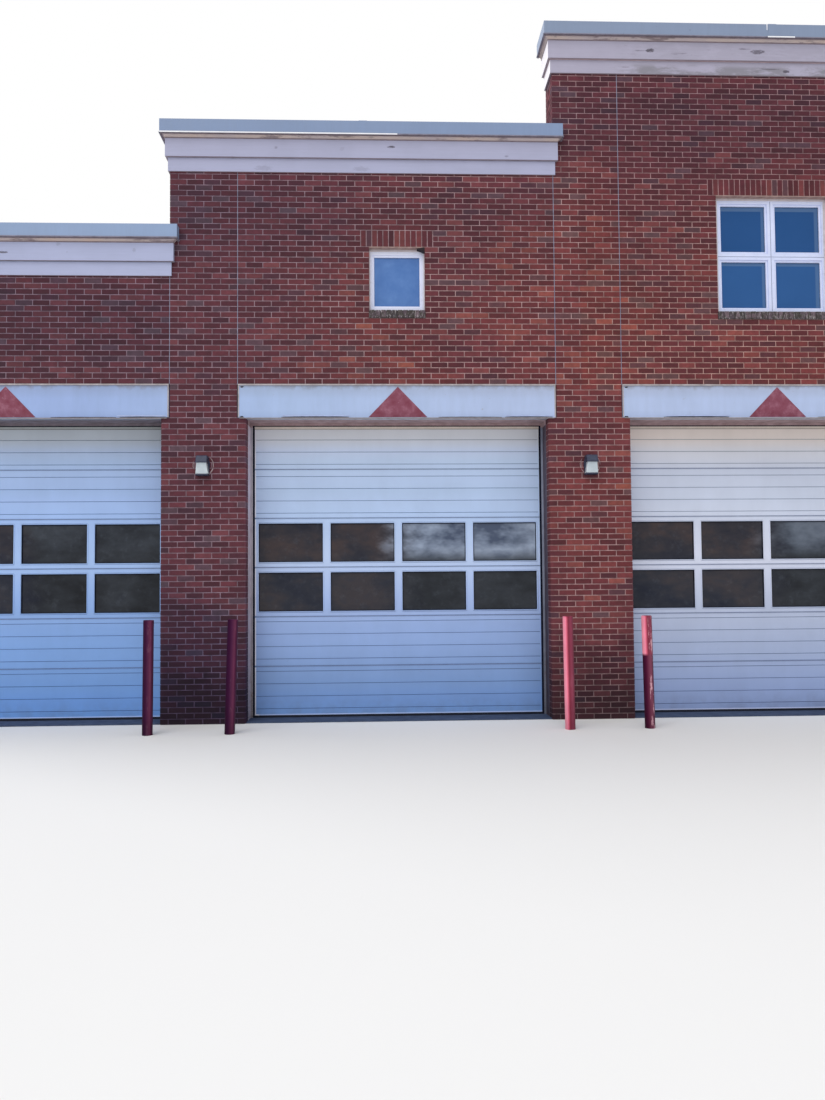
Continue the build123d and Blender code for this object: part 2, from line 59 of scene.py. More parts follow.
# Front: bays, piers, steps
BAYS = 5
MIDDLE_BAY = BAYS // 2
PIER = 4 * BRICK
LINTEL = 19 * BRICK
LINTEL_HALF = (LINTEL - JOINT) / 2
PITCH = LINTEL + PIER
HALF_WIDTH = (BAYS * PITCH + PIER) / 2
SHOULDER = HALF_BRICK
DOORWAY_COURSES = 54
LINTEL_COURSES = 60
SILL_COURSE = 72
SOLDIER_COURSES = 3
SILL_FRONT_HEIGHT = 0.090
BULLNOSE = 0.025
BULLNOSE_STEPS = 6
LINER_SET_BACK = 0.150
BAY_CENTRES = [(bay - (BAYS - 1) / 2) * PITCH for bay in range(BAYS)]
PIER_CENTRES = [(pier - BAYS / 2) * PITCH for pier in range(BAYS + 1)]

# Windows, by the step of their block
WINDOW_BAYS = (1, 2, 3)
WINDOW_HEADS = {1: 85, 2: 95}
WINDOW_MODULES = {1: 10, 2: 21}
SIDE_FILLERS = {1: 0.0, 2: 0.026}
HEAD_FILLER = 0.040
FRAME_WIDTH = 0.062
FRAME_SET_BACK = 0.065

# Planes read from the frame
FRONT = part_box("wall_over_door_3")[0].y
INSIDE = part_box("wall_over_door_3")[1].y
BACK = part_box("back_wall")[1].y
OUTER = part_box("side_wall_right")[1].x
DOORWAY_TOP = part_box("door_lintels")[0].z
LINTEL_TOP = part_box("door_lintels")[1].z
LINTEL_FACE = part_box("door_lintels")[0].y
DOOR_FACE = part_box("door_3")[0].y
DOOR_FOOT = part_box("door_3")[0].z
SEAL_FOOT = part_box("door_seals")[0].z
SEAL_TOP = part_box("door_seals")[1].z
FRAME_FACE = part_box("window_frames")[0].y
FRAME_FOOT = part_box("window_frames")[0].z
LAMP_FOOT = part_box("lamp_housings")[0].z
ROOF_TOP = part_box("roof_left")[1].z
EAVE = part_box("roof_right")[1].x
ROOF_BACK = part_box("roof_right")[1].y
ROOF_RISE = 1 / 6
ROOF_THICKNESS = 0.180

# Cornice, as in the solids: heights and how far each board stands out
CORNICE_COURSES = 79.33
STEP_COURSES = 19
FRIEZE = (0.170, 0.025)
FASCIA = (0.222, 0.055)
COVE = 0.042
COPING = (0.166, 0.110)
COPING_LIP = 0.008
COPING_FOOT = FRIEZE[0] + FASCIA[0] + COVE
PARAPET_TUCK = 0.090

# Doors, as in the solids
SECTION = 0.6096
SECTIONS = 6
GLAZED_FROM_FLOOR = (2, 3)
LITES = 4
LITE = (0.800, 0.484)
LITE_SPACING = 0.890
DOOR_HALF = (18 * BRICK + JOINT) / 2 - 0.056

WHITE = (1.0, 1.0, 1.0, 1.0)


def step_of_bay(bay):
    return MIDDLE_BAY - abs(bay - MIDDLE_BAY)


def step_of_pier(pier):
    return max(step_of_bay(bay) for bay in (pier - 1, pier) if 0 <= bay < BAYS)


def cornice_foot(step):
    return (CORNICE_COURSES + step * STEP_COURSES) * COURSE


def coping_top(step):
    return cornice_foot(step) + COPING_FOOT + COPING[0]


def roof_top(x):
    return ROOF_TOP - abs(x) * ROOF_RISE


# Colours and the nodes of a material


def srgb(red, green, blue):
    """Linear colour of three sRGB values from 0 to 255."""
    def linear(value):
        value /= 255
        return value / 12.92 if value <= 0.04045 else ((value + 0.055) / 1.055) ** 2.4
    return (linear(red), linear(green), linear(blue), 1.0)


class Finish:
    """One procedural material and short words for its nodes."""

    def __init__(self, name, roughness, specular, metallic=0.0):
        self.material = bpy.data.materials.new(name)
        self.material.use_nodes = True
        self.nodes = self.material.node_tree.nodes
        self.links = self.material.node_tree.links
        self.shader = self.nodes["Principled BSDF"]
        self.shader.inputs["Roughness"].default_value = roughness
        self.shader.inputs["Metallic"].default_value = metallic
        self.shader.inputs["Specular IOR Level"].default_value = specular
        self.place = self.node("ShaderNodeNewGeometry").outputs["Position"]
        self.x, self.y, self.z = self.split(self.place)

    def node(self, kind, settings=None, inputs=None):
        made = self.nodes.new(kind)
        for key, value in (settings or {}).items():
            setattr(made, key, value)
        for key, value in (inputs or {}).items():
            self.feed(made.inputs[key], value)
        return made

    def feed(self, socket, value):
        if isinstance(value, bpy.types.NodeSocket):
            self.links.new(value, socket)
        else:
            socket.default_value = value

    def split(self, vector):
        parts = self.node("ShaderNodeSeparateXYZ", inputs={0: vector})
        return parts.outputs[0], parts.outputs[1], parts.outputs[2]

    def math(self, operation, a, b=0.0):
        return self.node("ShaderNodeMath", {"operation": operation}, {0: a, 1: b}).outputs[0]

    def times(self, first, *others):
        """Product of numbers."""
        for other in others:
            first = self.math("MULTIPLY", first, other)
        return first

    def apart(self, value, place=None):
        """How far a value is from a place, or from nought."""
        return self.math("ABSOLUTE", value if place is None else self.math("SUBTRACT", value, place))

    def between(self, value, low, high, start=0.0, end=1.0):
        """value from low to high becomes start to end on a smooth curve, and stays within them."""
        made = self.node("ShaderNodeMapRange", {"clamp": True, "interpolation_type": "SMOOTHSTEP"},
                         {"Value": value, "From Min": low, "From Max": high, "To Min": start, "To Max": end})
        return made.outputs["Result"]

    def noise(self, scale, detail=3.0, roughness=0.55):
        """Cloudy values; a scale of three numbers stretches them along X, Y and Z."""
        vector = self.place
        if isinstance(scale, tuple):
            stretched = self.node("ShaderNodeVectorMath", {"operation": "MULTIPLY"}, {0: vector, 1: scale})
            vector = stretched.outputs[0]
            scale = 1.0
        made = self.node("ShaderNodeTexNoise", inputs={"Vector": vector, "Scale": scale, "Detail": detail,
                                                       "Roughness": roughness})
        return made.outputs["Fac"]

    def ramp(self, value, stops):
        made = self.node("ShaderNodeValToRGB", inputs={0: value})
        elements = made.color_ramp.elements
        while len(elements) < len(stops):
            elements.new(0.5)
        for element, (place, colour) in zip(elements, stops):
            element.position = place
            element.color = colour
        return made.outputs["Color"]

    def shades(self, value, *stops):
        """sRGB colours at places from 0 to 1, each stop being a place and its colour's three values."""
        return self.ramp(value, [(stop[0], srgb(*stop[1:])) for stop in stops])

    def factors(self, value, *stops):
        """Like shades, with factors that a colour is multiplied by."""
        return self.ramp(value, [(stop[0], (*stop[1:], 1.0)) for stop in stops])

    def tones(self, noise, low, high):
        """Two sRGB colours for the low and the high values of a noise."""
        return self.shades(noise, (0.3, *low), (0.7, *high))

    def mix(self, amount, a, b, blend="MIX"):
        """Two colours mixed; three numbers are sRGB values, four a linear colour or a factor."""
        made = self.node("ShaderNodeMix", {"data_type": "RGBA", "blend_type": blend})
        self.feed(made.inputs["Factor"], amount)
        for key, value in ((6, a), (7, b)):
            is_srgb = isinstance(value, tuple) and len(value) == 3
            self.feed(made.inputs[key], srgb(*value) if is_srgb else value)
        return made.outputs[2]

    def multiplied(self, a, b):
        return self.mix(1.0, a, b, "MULTIPLY")

    def scaled(self, colour, *amounts):
        """colour times numbers that vary over the surface."""
        for amount in amounts:
            made = self.node("ShaderNodeVectorMath", {"operation": "SCALE"}, {0: colour})
            self.feed(made.inputs["Scale"], amount)
            colour = made.outputs[0]
        return colour

    def varied(self, noise, low, high):
        """A noise as a number that goes from low to high."""
        return self.between(noise, 0.3, 0.7, low, high)

    def bump(self, height, strength=0.3, distance=0.002):
        made = self.node("ShaderNodeBump", inputs={"Height": height, "Strength": strength,
                                                   "Distance": distance})
        self.links.new(made.outputs["Normal"], self.shader.inputs["Normal"])

    def facing(self):
        """X, Y and Z of the direction a face looks in."""
        return self.split(self.node("ShaderNodeNewGeometry").outputs["True Normal"])

    def facing_down(self):
        """1 on faces that look down, 0 on the others."""
        return self.between(self.facing()[2], -0.8, -0.3, 1.0, 0.0)

    def colour(self, value):
        self.feed(self.shader.inputs["Base Color"], value)

    def roughness(self, value):
        self.feed(self.shader.inputs["Roughness"], value)


# Mesh building

BOX_FACES = [(0, 3, 2, 1), (4, 5, 6, 7), (0, 1, 5, 4), (1, 2, 6, 5), (2, 3, 7, 6), (3, 0, 4, 7)]
CHAMFERED_FACES = BOX_FACES[:1] + BOX_FACES[2:] + [(4, 5, 9, 8), (5, 6, 10, 9), (6, 7, 11, 10),
                                                   (7, 4, 8, 11), (8, 9, 10, 11)]


class Builder:
    """Gathers faces into one mesh; every part of it has three random tones."""

    def __init__(self, name, seed):
        self.name = name
        self.random = random.Random(seed)
        self.verts, self.faces, self.tones = [], [], []

    def add(self, verts, faces):
        start = len(self.verts)
        tone = (self.random.random(), self.random.random(), self.random.random(), 1.0)
        self.verts.extend(verts)
        self.faces.extend([tuple(start + i for i in face) for face in faces])
        self.tones.extend([tone] * len(verts))

    def box(self, low, high):
        """A closed box between two corners."""
        (x0, y0, z0), (x1, y1, z1) = low, high
        plan = ((x0, y0), (x1, y0), (x1, y1), (x0, y1))
        self.add([(x, y, z) for z in (z0, z1) for x, y in plan], BOX_FACES)

    def prism(self, outline, axis, start, end):
        """A flat outline pushed along X, Y or Z. The outline gives the two other coordinates, in order."""
        order = {"x": lambda a, b, c: (c, a, b), "y": lambda a, b, c: (a, c, b),
                 "z": lambda a, b, c: (a, b, c)}
        ahead = outline[1:] + outline[:1]
        turned = sum(a[0] * b[1] - b[0] * a[1] for a, b in zip(outline, ahead)) < 0
        if (axis == "y") != turned:
            outline = outline[::-1]
        n = len(outline)
        verts = [order[axis](a, b, c) for c in (start, end) for a, b in outline]
        sides = [(i, (i + 1) % n, n + (i + 1) % n, n + i) for i in range(n)]
        caps = [tuple(range(n - 1, -1, -1)), tuple(range(n, 2 * n))]
        self.add(verts, sides + caps)

    def strip(self, rows, closed_path=False):
        """Rows of points round a closed profile, joined into a skin; open ends are capped."""
        n, m = len(rows), len(rows[0])
        faces = []
        for i in range(n if closed_path else n - 1):
            for j in range(m):
                a, b = i * m + j, i * m + (j + 1) % m
                c, d = (i + 1) % n * m + (j + 1) % m, (i + 1) % n * m + j
                faces.append((a, b, c, d))
        if not closed_path:
            faces.append(tuple(range(m - 1, -1, -1)))
            faces.append(tuple((n - 1) * m + j for j in range(m)))
        self.add([point for row in rows for point in row], faces)

    def ring(self, x, z, half_width, half_height, corner, profile, steps=4):
        """A closed profile of (outset, y) points run round a rectangle with rounded corners, facing Y."""
        rows = []
        for i, (side_x, side_z) in enumerate(((1, 1), (-1, 1), (-1, -1), (1, -1))):
            for step in range(steps + 1):
                angle = pi / 2 * (i + step / steps)
                rows.append([(x + side_x * (half_width - corner) + max(corner + outset, 0.0) * cos(angle), y,
                              z + side_z * (half_height - corner) + max(corner + outset, 0.0) * sin(angle))
                             for outset, y in profile])
        self.strip(rows, closed_path=True)

    def make(self, finish):
        mesh = bpy.data.meshes.new(self.name)
        mesh.from_pydata(self.verts, [], self.faces)
        shell = bmesh.new()
        shell.from_mesh(mesh)
        bmesh.ops.recalc_face_normals(shell, faces=shell.faces)
        shell.to_mesh(mesh)
        shell.free()
        mesh.polygons.foreach_set("use_smooth", [False] * len(mesh.polygons))
        tones = mesh.attributes.new("tone", "FLOAT_COLOR", "POINT")
        tones.data.foreach_set("color", [part for tone in self.tones for part in tone])
        mesh.materials.append(finish.material)
        mesh.validate()
        piece = bpy.data.objects.new(self.name, mesh)
        bpy.context.scene.collection.objects.link(piece)
        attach(piece, "root")


class Face:
    """A wall face: u runs to the right as seen from outside, v up, n out of the wall."""

    def __init__(self, out, plane):
        self.out = Vector(out)
        self.along = Vector((0, 0, 1)).cross(self.out)
        self.plane = plane

    def at(self, u, v, n):
        point = self.along * u + self.out * (self.plane + n)
        return (point.x, point.y, v)


FRONT_FACE = Face((0, -1, 0), -FRONT)
BACK_FACE = Face((0, 1, 0), BACK)
PARAPET_BACK = Face((0, 1, 0), INSIDE)

# Bricks


def on_lines(course):
    """Whether a course's bricks begin on the module lines, as in the first, 0, and every second one."""
    return course % 2 == 0


def course_span(course):
    """Foot and top of a course's bricks."""
    return course * COURSE + JOINT / 2, (course + 1) * COURSE - JOINT / 2


def course_origin(course):
    """Where the joint lines of the front and back begin in a course."""
    return -HALF_WIDTH if on_lines(course) else -HALF_WIDTH + HALF_BRICK


def brick_spans(start, end, origin, module=BRICK):
    """Joint centres at both ends of each brick of a course, without joints that would make a sliver."""
    first = ceil((start + SLIVER - origin) / module)
    last = floor((end - SLIVER - origin) / module)
    lines = [start] + [origin + i * module for i in range(first, last + 1)] + [end]
    return list(zip(lines, lines[1:]))


def lay(bricks, face, u0, u1, v0, v1, depth=EMBED, chamfered=True, top=None):
    """One brick on a wall face. top gives the heights of both upper corners where they differ."""
    left_top, right_top = top or (v1, v1)
    front = BRICK_PROUD + bricks.random.uniform(-BRICK_SETTING, BRICK_SETTING)
    corners = ((u0, v0), (u1, v0), (u1, right_top), (u0, left_top))
    if chamfered:
        c = BRICK_CHAMFER
        inner = ((u0 + c, v0 + c), (u1 - c, v0 + c), (u1 - c, right_top - c), (u0 + c, left_top - c))
        layers, faces = ((-depth, corners), (front - c, corners), (front, inner)), CHAMFERED_FACES
    else:
        layers, faces = ((-depth, corners), (front, corners)), BOX_FACES
    bricks.add([face.at(u, v, n) for n, layer in layers for u, v in layer], faces)


def lay_course(bricks, course, start, end, window_side=0):
    """Front bricks of a course between two joint centres. window_side is -1 left of a window and 1 right
    of it, and the brick beside the window goes back to the frame."""
    spans = brick_spans(start, end, course_origin(course))
    deep = {-1: len(spans) - 1, 0: None, 1: 0}[window_side]
    for i, (a, b) in enumerate(spans):
        lay(bricks, FRONT_FACE, a + JOINT / 2, b - JOINT / 2, *course_span(course),
            depth=FRAME_SET_BACK if i == deep else EMBED)


def corner_brick(bricks, course, x, side, y, top=float("inf")):
    """A whole brick at an outer corner, along X in every second course; side is -1 at a left corner."""
    in_x, in_y = BRICK - JOINT, HALF_BRICK - JOINT
    if not on_lines(course):
        in_x, in_y = in_y, in_x
    out_y = -1 if y == FRONT else 1
    x0, x1 = sorted((x + side * BRICK_PROUD, x - side * in_x))
    y0, y1 = sorted((y + out_y * BRICK_PROUD, y - out_y * in_y))
    v0, v1 = course_span(course)
    if min(v1, top) - v0 > JOINT:
        bricks.box((x0, y0, v0), (x1, y1, min(v1, top)))


def corner_end(bricks, course, line, side):
    """The brick at an outer corner of the front; returns the joint line where it ends."""
    corner_brick(bricks, course, line - side * JOINT / 2, side, FRONT)
    return line - side * (BRICK if on_lines(course) else HALF_BRICK)


def jamb_end(bricks, course, edge_line, side):
    """The brick at a doorway's edge, rounded like the jamb; side is the doorway's side of it. Where its
    return is short, a plain brick goes on along the reveal. Returns the joint line where it ends."""
    edge = edge_line - side * JOINT / 2
    length = HALF_BRICK if on_lines(course) else BRICK
    back = LINER_SET_BACK if on_lines(course) else HALF_BRICK - JOINT
    radius = BULLNOSE + BRICK_PROUD
    outline = [(length - JOINT, -BRICK_PROUD)]
    for i in range(BULLNOSE_STEPS + 1):
        angle = radians(-90 - 90 * i / BULLNOSE_STEPS)
        outline.append((BULLNOSE + radius * cos(angle), BULLNOSE + radius * sin(angle)))
    outline += [(-BRICK_PROUD, back), (EMBED, back), (length - JOINT, EMBED)]
    v0, v1 = course_span(course)
    bricks.prism([(edge - side * a, FRONT + b) for a, b in outline], "z", v0, v1)
    if not on_lines(course):
        x0, x1 = sorted((edge + side * BRICK_PROUD, edge - side * EMBED))
        bricks.box((x0, FRONT + HALF_BRICK, v0), (x1, FRONT + LINER_SET_BACK, v1))
    return edge_line - side * length


def pier_bricks(bricks, pier):
    """Front bricks of a pier, from the ground to its cornice."""
    centre, step = PIER_CENTRES[pier], step_of_pier(pier)
    free_left = pier == 0 or step_of_bay(pier - 1) < step
    free_right = pier == BAYS or step_of_bay(min(pier, BAYS - 1)) < step
    for course in range(ceil(cornice_foot(step) / COURSE)):
        left, right = centre - PIER / 2, centre + PIER / 2
        if course < DOORWAY_COURSES:
            left = (corner_end(bricks, course, -HALF_WIDTH, -1) if pier == 0
                    else jamb_end(bricks, course, left - SHOULDER, -1))
            right = (corner_end(bricks, course, HALF_WIDTH, 1) if pier == BAYS
                     else jamb_end(bricks, course, right + SHOULDER, 1))
        elif course * COURSE > cornice_foot(step - 1) or pier in (0, BAYS):
            left = corner_end(bricks, course, left, -1) if free_left else left
            right = corner_end(bricks, course, right, 1) if free_right else right
        lay_course(bricks, course, left, right)


def window_of_bay(bay):
    """Half width, head course and half width of the soldiers of a bay's window."""
    step = step_of_bay(bay)
    modules = WINDOW_MODULES[step]
    return modules * COURSE / 2, WINDOW_HEADS[step], (modules + 3) * COURSE / 2


def panel_bricks(bricks, bay):
    """Front bricks of the panel over a door, cut round its window."""
    centre = BAY_CENTRES[bay]
    left, right = centre - LINTEL / 2, centre + LINTEL / 2
    opening, head, soldiers_half = window_of_bay(bay) if bay in WINDOW_BAYS else (0.0, 0, 0.0)
    for course in range(LINTEL_COURSES, ceil(cornice_foot(step_of_bay(bay)) / COURSE)):
        if SILL_COURSE <= course < head + SOLDIER_COURSES:
            soldiers = course >= head
            half = soldiers_half if soldiers else opening - BRICK_PROUD
            lay_course(bricks, course, left, centre - half, 0 if soldiers else -1)
            lay_course(bricks, course, centre + half, right, 0 if soldiers else 1)
        else:
            lay_course(bricks, course, left, right)
    for i in range(round(2 * soldiers_half / COURSE)):
        u = centre - soldiers_half + i * COURSE
        lay(bricks, FRONT_FACE, u + JOINT / 2, u + COURSE - JOINT / 2, head * COURSE + EMBED,
            (head + SOLDIER_COURSES) * COURSE - JOINT / 2, depth=HALF_BRICK)


def side_bricks(bricks, side):
    """A side wall, from the front corner to the back one; side is -1 on the left."""
    module = (BACK - FRONT + JOINT) / SIDE_BRICKS
    wall_top = roof_top(OUTER) - ROOF_THICKNESS
    for course in range(ceil(cornice_foot(0) / COURSE)):
        first, shift = (module / 2, module / 2) if on_lines(course) else (module, 0)
        whole = course * COURSE < wall_top
        start = FRONT - JOINT / 2 + first
        end = BACK + JOINT / 2 - first if whole else INSIDE + JOINT / 2
        v0, v1 = course_span(course)
        for a, b in brick_spans(start, end, FRONT - JOINT / 2 + shift, module):
            high = v1 if b < INSIDE + BRICK else min(v1, wall_top)
            if high - v0 >= JOINT:
                u0, u1 = sorted((side * (a + JOINT / 2), side * (b - JOINT / 2)))
                lay(bricks, Face((side, 0, 0), OUTER), u0, u1, v0, high, chamfered=False)
        if whole:
            corner_brick(bricks, course, side * OUTER, side, BACK, wall_top)


def back_bricks(bricks):
    """The gabled back wall; its upper bricks are cut to the roof's slope."""
    for course in range(ceil((ROOF_TOP - ROOF_THICKNESS) / COURSE)):
        end = HALF_WIDTH - (BRICK if on_lines(course) else HALF_BRICK)
        v0, v1 = course_span(course)
        for a, b in brick_spans(-end, end, course_origin(course)):
            u0, u1 = a + JOINT / 2, b - JOINT / 2
            tops = tuple(min(v1, roof_top(u) - ROOF_THICKNESS) for u in (u0, u1))
            if min(tops) - v0 > JOINT / 2:
                lay(bricks, BACK_FACE, u0, u1, v0, v1, chamfered=False, top=tops)


def parapet_bricks(bricks):
    """The front wall's back above the roof, and the ends of its taller blocks."""
    for step in range(MIDDLE_BAY + 1):
        outer = (MIDDLE_BAY - step + 0.5) * PITCH + PIER / 2
        inner = outer - PITCH if step < MIDDLE_BAY else 0.0
        top = coping_top(step) - PARAPET_TUCK
        for side in (-1, 1):
            for course in range(floor(roof_top(outer) / COURSE), ceil(top / COURSE)):
                v0, v1 = course_span(course)
                v1 = min(v1, top)
                if v1 - v0 < JOINT:
                    continue
                corner, reach = (BRICK, HALF_BRICK) if on_lines(course) else (HALF_BRICK, BRICK)
                for a, b in brick_spans(inner, outer - corner, -HALF_BRICK if on_lines(course) else 0.0):
                    if roof_top(b) <= v1 + COURSE:
                        u0, u1 = sorted((-side * (a + JOINT / 2), -side * (b - JOINT / 2)))
                        lay(bricks, PARAPET_BACK, u0, u1, v0, v1, chamfered=False)
                corner_brick(bricks, course, side * (outer - JOINT / 2), side, INSIDE, top)
                if step > 0 and v1 < cornice_foot(step) and INSIDE - FRONT - 2 * reach > SLIVER:
                    u0, u1 = sorted((side * (FRONT + reach), side * (INSIDE - reach)))
                    lay(bricks, Face((side, 0, 0), outer - JOINT / 2), u0, u1, v0, v1, chamfered=False)


def sill_bricks(bricks):
    """Bricks on edge that slope out under each window."""
    low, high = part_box("window_sills")
    foot, top = SILL_COURSE * COURSE, high.z
    front_top = foot + SILL_FRONT_HEIGHT
    for bay in WINDOW_BAYS:
        half = window_of_bay(bay)[0]
        for i in range(round(2 * half / COURSE)):
            u = BAY_CENTRES[bay] - half + i * COURSE
            lift = BRICK_PROUD + bricks.random.uniform(-0.001, 0.001)
            outline = [(low.y - lift, foot + JOINT / 2), (low.y - lift, front_top + lift),
                       (FRAME_FACE + EMBED, top + lift), (FRAME_FACE + EMBED, top - EMBED),
                       (low.y + EMBED, front_top - 2 * EMBED), (low.y + EMBED, foot + JOINT / 2)]
            bricks.prism(outline, "x", u + JOINT / 2, u + COURSE - JOINT / 2)


# Small trim


def moved(outline, a, b):
    """An outline's points, shifted."""
    return [(a + first, b + second) for first, second in outline]


def cornice_runs():
    """Each block's cornice: x of both ends, whether each end is free, and its step."""
    for step in range(MIDDLE_BAY):
        near = (MIDDLE_BAY - step - 0.5) * PITCH + PIER / 2
        far = near + PITCH - JOINT / 2
        yield -far, -near, True, False, step
        yield near, far, False, True, step
    half = PITCH / 2 + PIER / 2 - JOINT / 2
    yield -half, half, True, True, MIDDLE_BAY


RUNS = list(cornice_runs())


def mouldings(piece, *profiles):
    """Profiles of (distance out of the wall, height over the cornice's foot), mitred round each block."""
    for x0, x1, free0, free1, step in RUNS:
        for profile in profiles:
            points = moved(profile, 0.0, cornice_foot(step))
            piece.strip([[(x0 - out, INSIDE if free0 else FRONT, z) for out, z in points],
                         [(x0 - out, FRONT - out, z) for out, z in points],
                         [(x1 + out, FRONT - out, z) for out, z in points],
                         [(x1 + out, INSIDE if free1 else FRONT, z) for out, z in points]])


# Rolled drip edge along the foot of the coping's face
DRIP = moved([(-0.010, -0.003), (0.0, -0.004), (0.002, 0.0), (0.001, 0.006), (-0.007, 0.013)],
             COPING[1] + COPING_LIP, COPING_FOOT)
# Dark strip behind it, a painted shadow in the open gap, and the dirty line where the moulding meets the
# fascia
DRIP_GAP = moved([(-0.010, -0.012), (0.001, -0.012), (0.001, 0.0), (-0.010, 0.0)],
                 COPING[1] - 0.008, COPING_FOOT)
DIRTY_LINE = moved([(-0.001, -0.004), (0.002, -0.003), (0.004, 0.009), (-0.001, 0.010)],
                   FASCIA[1], COPING_FOOT - COVE)
# Bare wood where the upper boards lap over the lower ones, dark as a painted shadow line
LAP = moved([(-0.002, -0.006), (0.004, -0.006), (0.009, -0.001), (-0.002, -0.001)], FRIEZE[1], FRIEZE[0])

# Newer lengths of drip edge: the block's step, start and end; and X of a turned up edge
BRIGHT_SHEETS = [(1, -7.53, -4.66), (2, -0.06, 0.28), (1, 4.66, 7.53)]
OPEN_SEAM = -0.070
# Length of the coping's sheets, then width, thickness and clearance of the plates over their joints
SHEET = 3.05
PLATE = 0.10
PLATE_THICKNESS = 0.0025
PLATE_FOOT = 0.014


def bright_drips(drips):
    """Lengths of newer, white drip edge over the dull one, and a turned up edge on the highest block."""
    face = FRONT - COPING[1]
    for step, x0, x1 in BRIGHT_SHEETS:
        drips.prism(moved([(0.0, -0.006), (-0.005, -0.004), (-0.005, 0.008), (-0.001, 0.011)],
                          face - COPING_LIP, cornice_foot(step) + COPING_FOOT), "x", x0, x1)
    drips.prism(moved([(0.0, -0.075), (0.008, -0.078), (0.010, 0.004), (0.0, 0.004)],
                      OPEN_SEAM, coping_top(MIDDLE_BAY)), "y", face - 0.005, face + 0.001)


def coping_joints(plates):
    """Cover plates over the joints of the coping's sheets, folded over its top and face."""
    face = FRONT - COPING[1]
    for x0, x1, _, _, step in RUNS:
        top = coping_top(step)
        foot, outside = top - COPING[0] + PLATE_FOOT, top + PLATE_THICKNESS
        outline = [(face, foot), (face - PLATE_THICKNESS, foot), (face - PLATE_THICKNESS, outside),
                   (INSIDE, outside), (INSIDE, top), (face, top)]
        count = round((x1 - x0) / SHEET)
        for i in range(1, count):
            x = x0 + (x1 - x0) * i / count
            plates.prism(outline, "x", x - PLATE / 2, x + PLATE / 2)


# Where a lintel's sheet has come away: start, length and height of each open stretch
FLAPS = [(-0.36 * LINTEL, 0.21 * LINTEL, 0.012), (0.13 * LINTEL, 0.20 * LINTEL, 0.007),
         (0.34 * LINTEL, 0.15 * LINTEL, 0.009), (0.02 - LINTEL_HALF, 0.05, 0.018)]
CURLED = (0, 2)
CURL_STEPS = 14
# Width of the cover strips, and how far the drip plate stops short of the lintel's ends
END_STRIP = 0.016
DRIP_PLATE_INSET = 0.020
# Seen from the lintel's upper left corner
CORNER_HOLE = [(0.030, -0.030), (0.060, -0.026), (0.072, -0.034), (0.055, -0.044), (0.034, -0.042)]


def lintel_trim(trim):
    """Painted flashing on each lintel's top edge, cover strips at its ends and a drip plate at its foot."""
    face, top, foot = LINTEL_FACE, LINTEL_TOP, DOORWAY_TOP
    flashing = [(FRONT + EMBED, top + 0.004), (FRONT - 0.006, top + 0.004), (face - 0.009, top - 0.002),
                (face - 0.010, top - 0.016), (face - 0.006, top - 0.018), (face, top - 0.012)]
    plate = moved([(EMBED, -0.001), (-0.012, -0.004), (-0.014, -0.010), (0.045, -0.010), (0.075, -0.004),
                   (0.075, -0.001)], face, foot)
    for x in BAY_CENTRES:
        trim.prism(flashing, "x", x - LINTEL_HALF, x + LINTEL_HALF)
        for side in (-1, 1):
            x0, x1 = sorted((x + side * LINTEL_HALF, x + side * (LINTEL_HALF - END_STRIP)))
            trim.prism([(x0, face), (x0 + 0.002, face - 0.004), (x1 - 0.002, face - 0.004), (x1, face)],
                       "z", foot + 0.006, top - 0.018)
        trim.prism(plate, "x", x - LINTEL_HALF + DRIP_PLATE_INSET, x + LINTEL_HALF - DRIP_PLATE_INSET)


def lintel_gaps(gaps):
    """Painted shade in the open stretches along each lintel's lower edge, and in a hole at its upper left
    corner.
    """
    for x in BAY_CENTRES:
        for start, length, height in FLAPS:
            start += gaps.random.uniform(-0.05, 0.05) if length > 0.1 else 0.0
            count = max(4, round(length / 0.05))
            points = []
            for i in range(count + 1):
                rise = height * (0.25 + 0.75 * sin(pi * i / count) ** 0.5 * gaps.random.uniform(0.5, 1.0))
                points.append((x + start + length * i / count, DOORWAY_TOP + 0.003 + rise))
            base = [(points[-1][0], DOORWAY_TOP + 0.001), (points[0][0], DOORWAY_TOP + 0.001)]
            gaps.prism(points + base, "y", LINTEL_FACE - 0.0015, LINTEL_FACE)
        gaps.prism(moved(CORNER_HOLE, x - LINTEL_HALF, LINTEL_TOP), "y", LINTEL_FACE - 0.001, LINTEL_FACE)


def lintel_curls(curls):
    """Lips of the white sheet that curl out over the open stretches."""
    y, z = LINTEL_FACE, DOORWAY_TOP + 0.016
    for x in BAY_CENTRES:
        for start, length, _ in [FLAPS[i] for i in CURLED]:
            rows = []
            for i in range(CURL_STEPS + 1):
                lift = 0.009 * sin(pi * i / CURL_STEPS) ** 0.7 * curls.random.uniform(0.6, 1.0)
                px = x + start + length * i / CURL_STEPS
                rows.append([(px, y - 0.0005, z + 0.012), (px, y - 0.0015 - lift, z - 0.004),
                             (px, y - 0.0030 - lift, z - 0.003), (px, y - 0.0020, z + 0.013)])
            curls.strip(rows)


def lite_rings(piece, corner, profile):
    """A profile of (outset, y) points round each pane of the doors."""
    for x in BAY_CENTRES:
        for row in GLAZED_FROM_FLOOR:
            for n in range(LITES):
                piece.ring(x + (n - (LITES - 1) / 2) * LITE_SPACING, DOOR_FOOT + row * SECTION + SECTION / 2,
                           LITE[0] / 2, LITE[1] / 2, corner, moved(profile, 0.0, DOOR_FACE))


LITE_BEAD = [(-0.004, 0.004), (-0.003, -0.002), (0.001, -0.0055), (0.008, -0.006), (0.012, -0.003),
             (0.0125, 0.001)]
LITE_GASKET = [(-0.016, 0.017), (-0.015, 0.009), (-0.010, 0.004), (-0.0035, 0.003), (-0.0035, 0.017)]


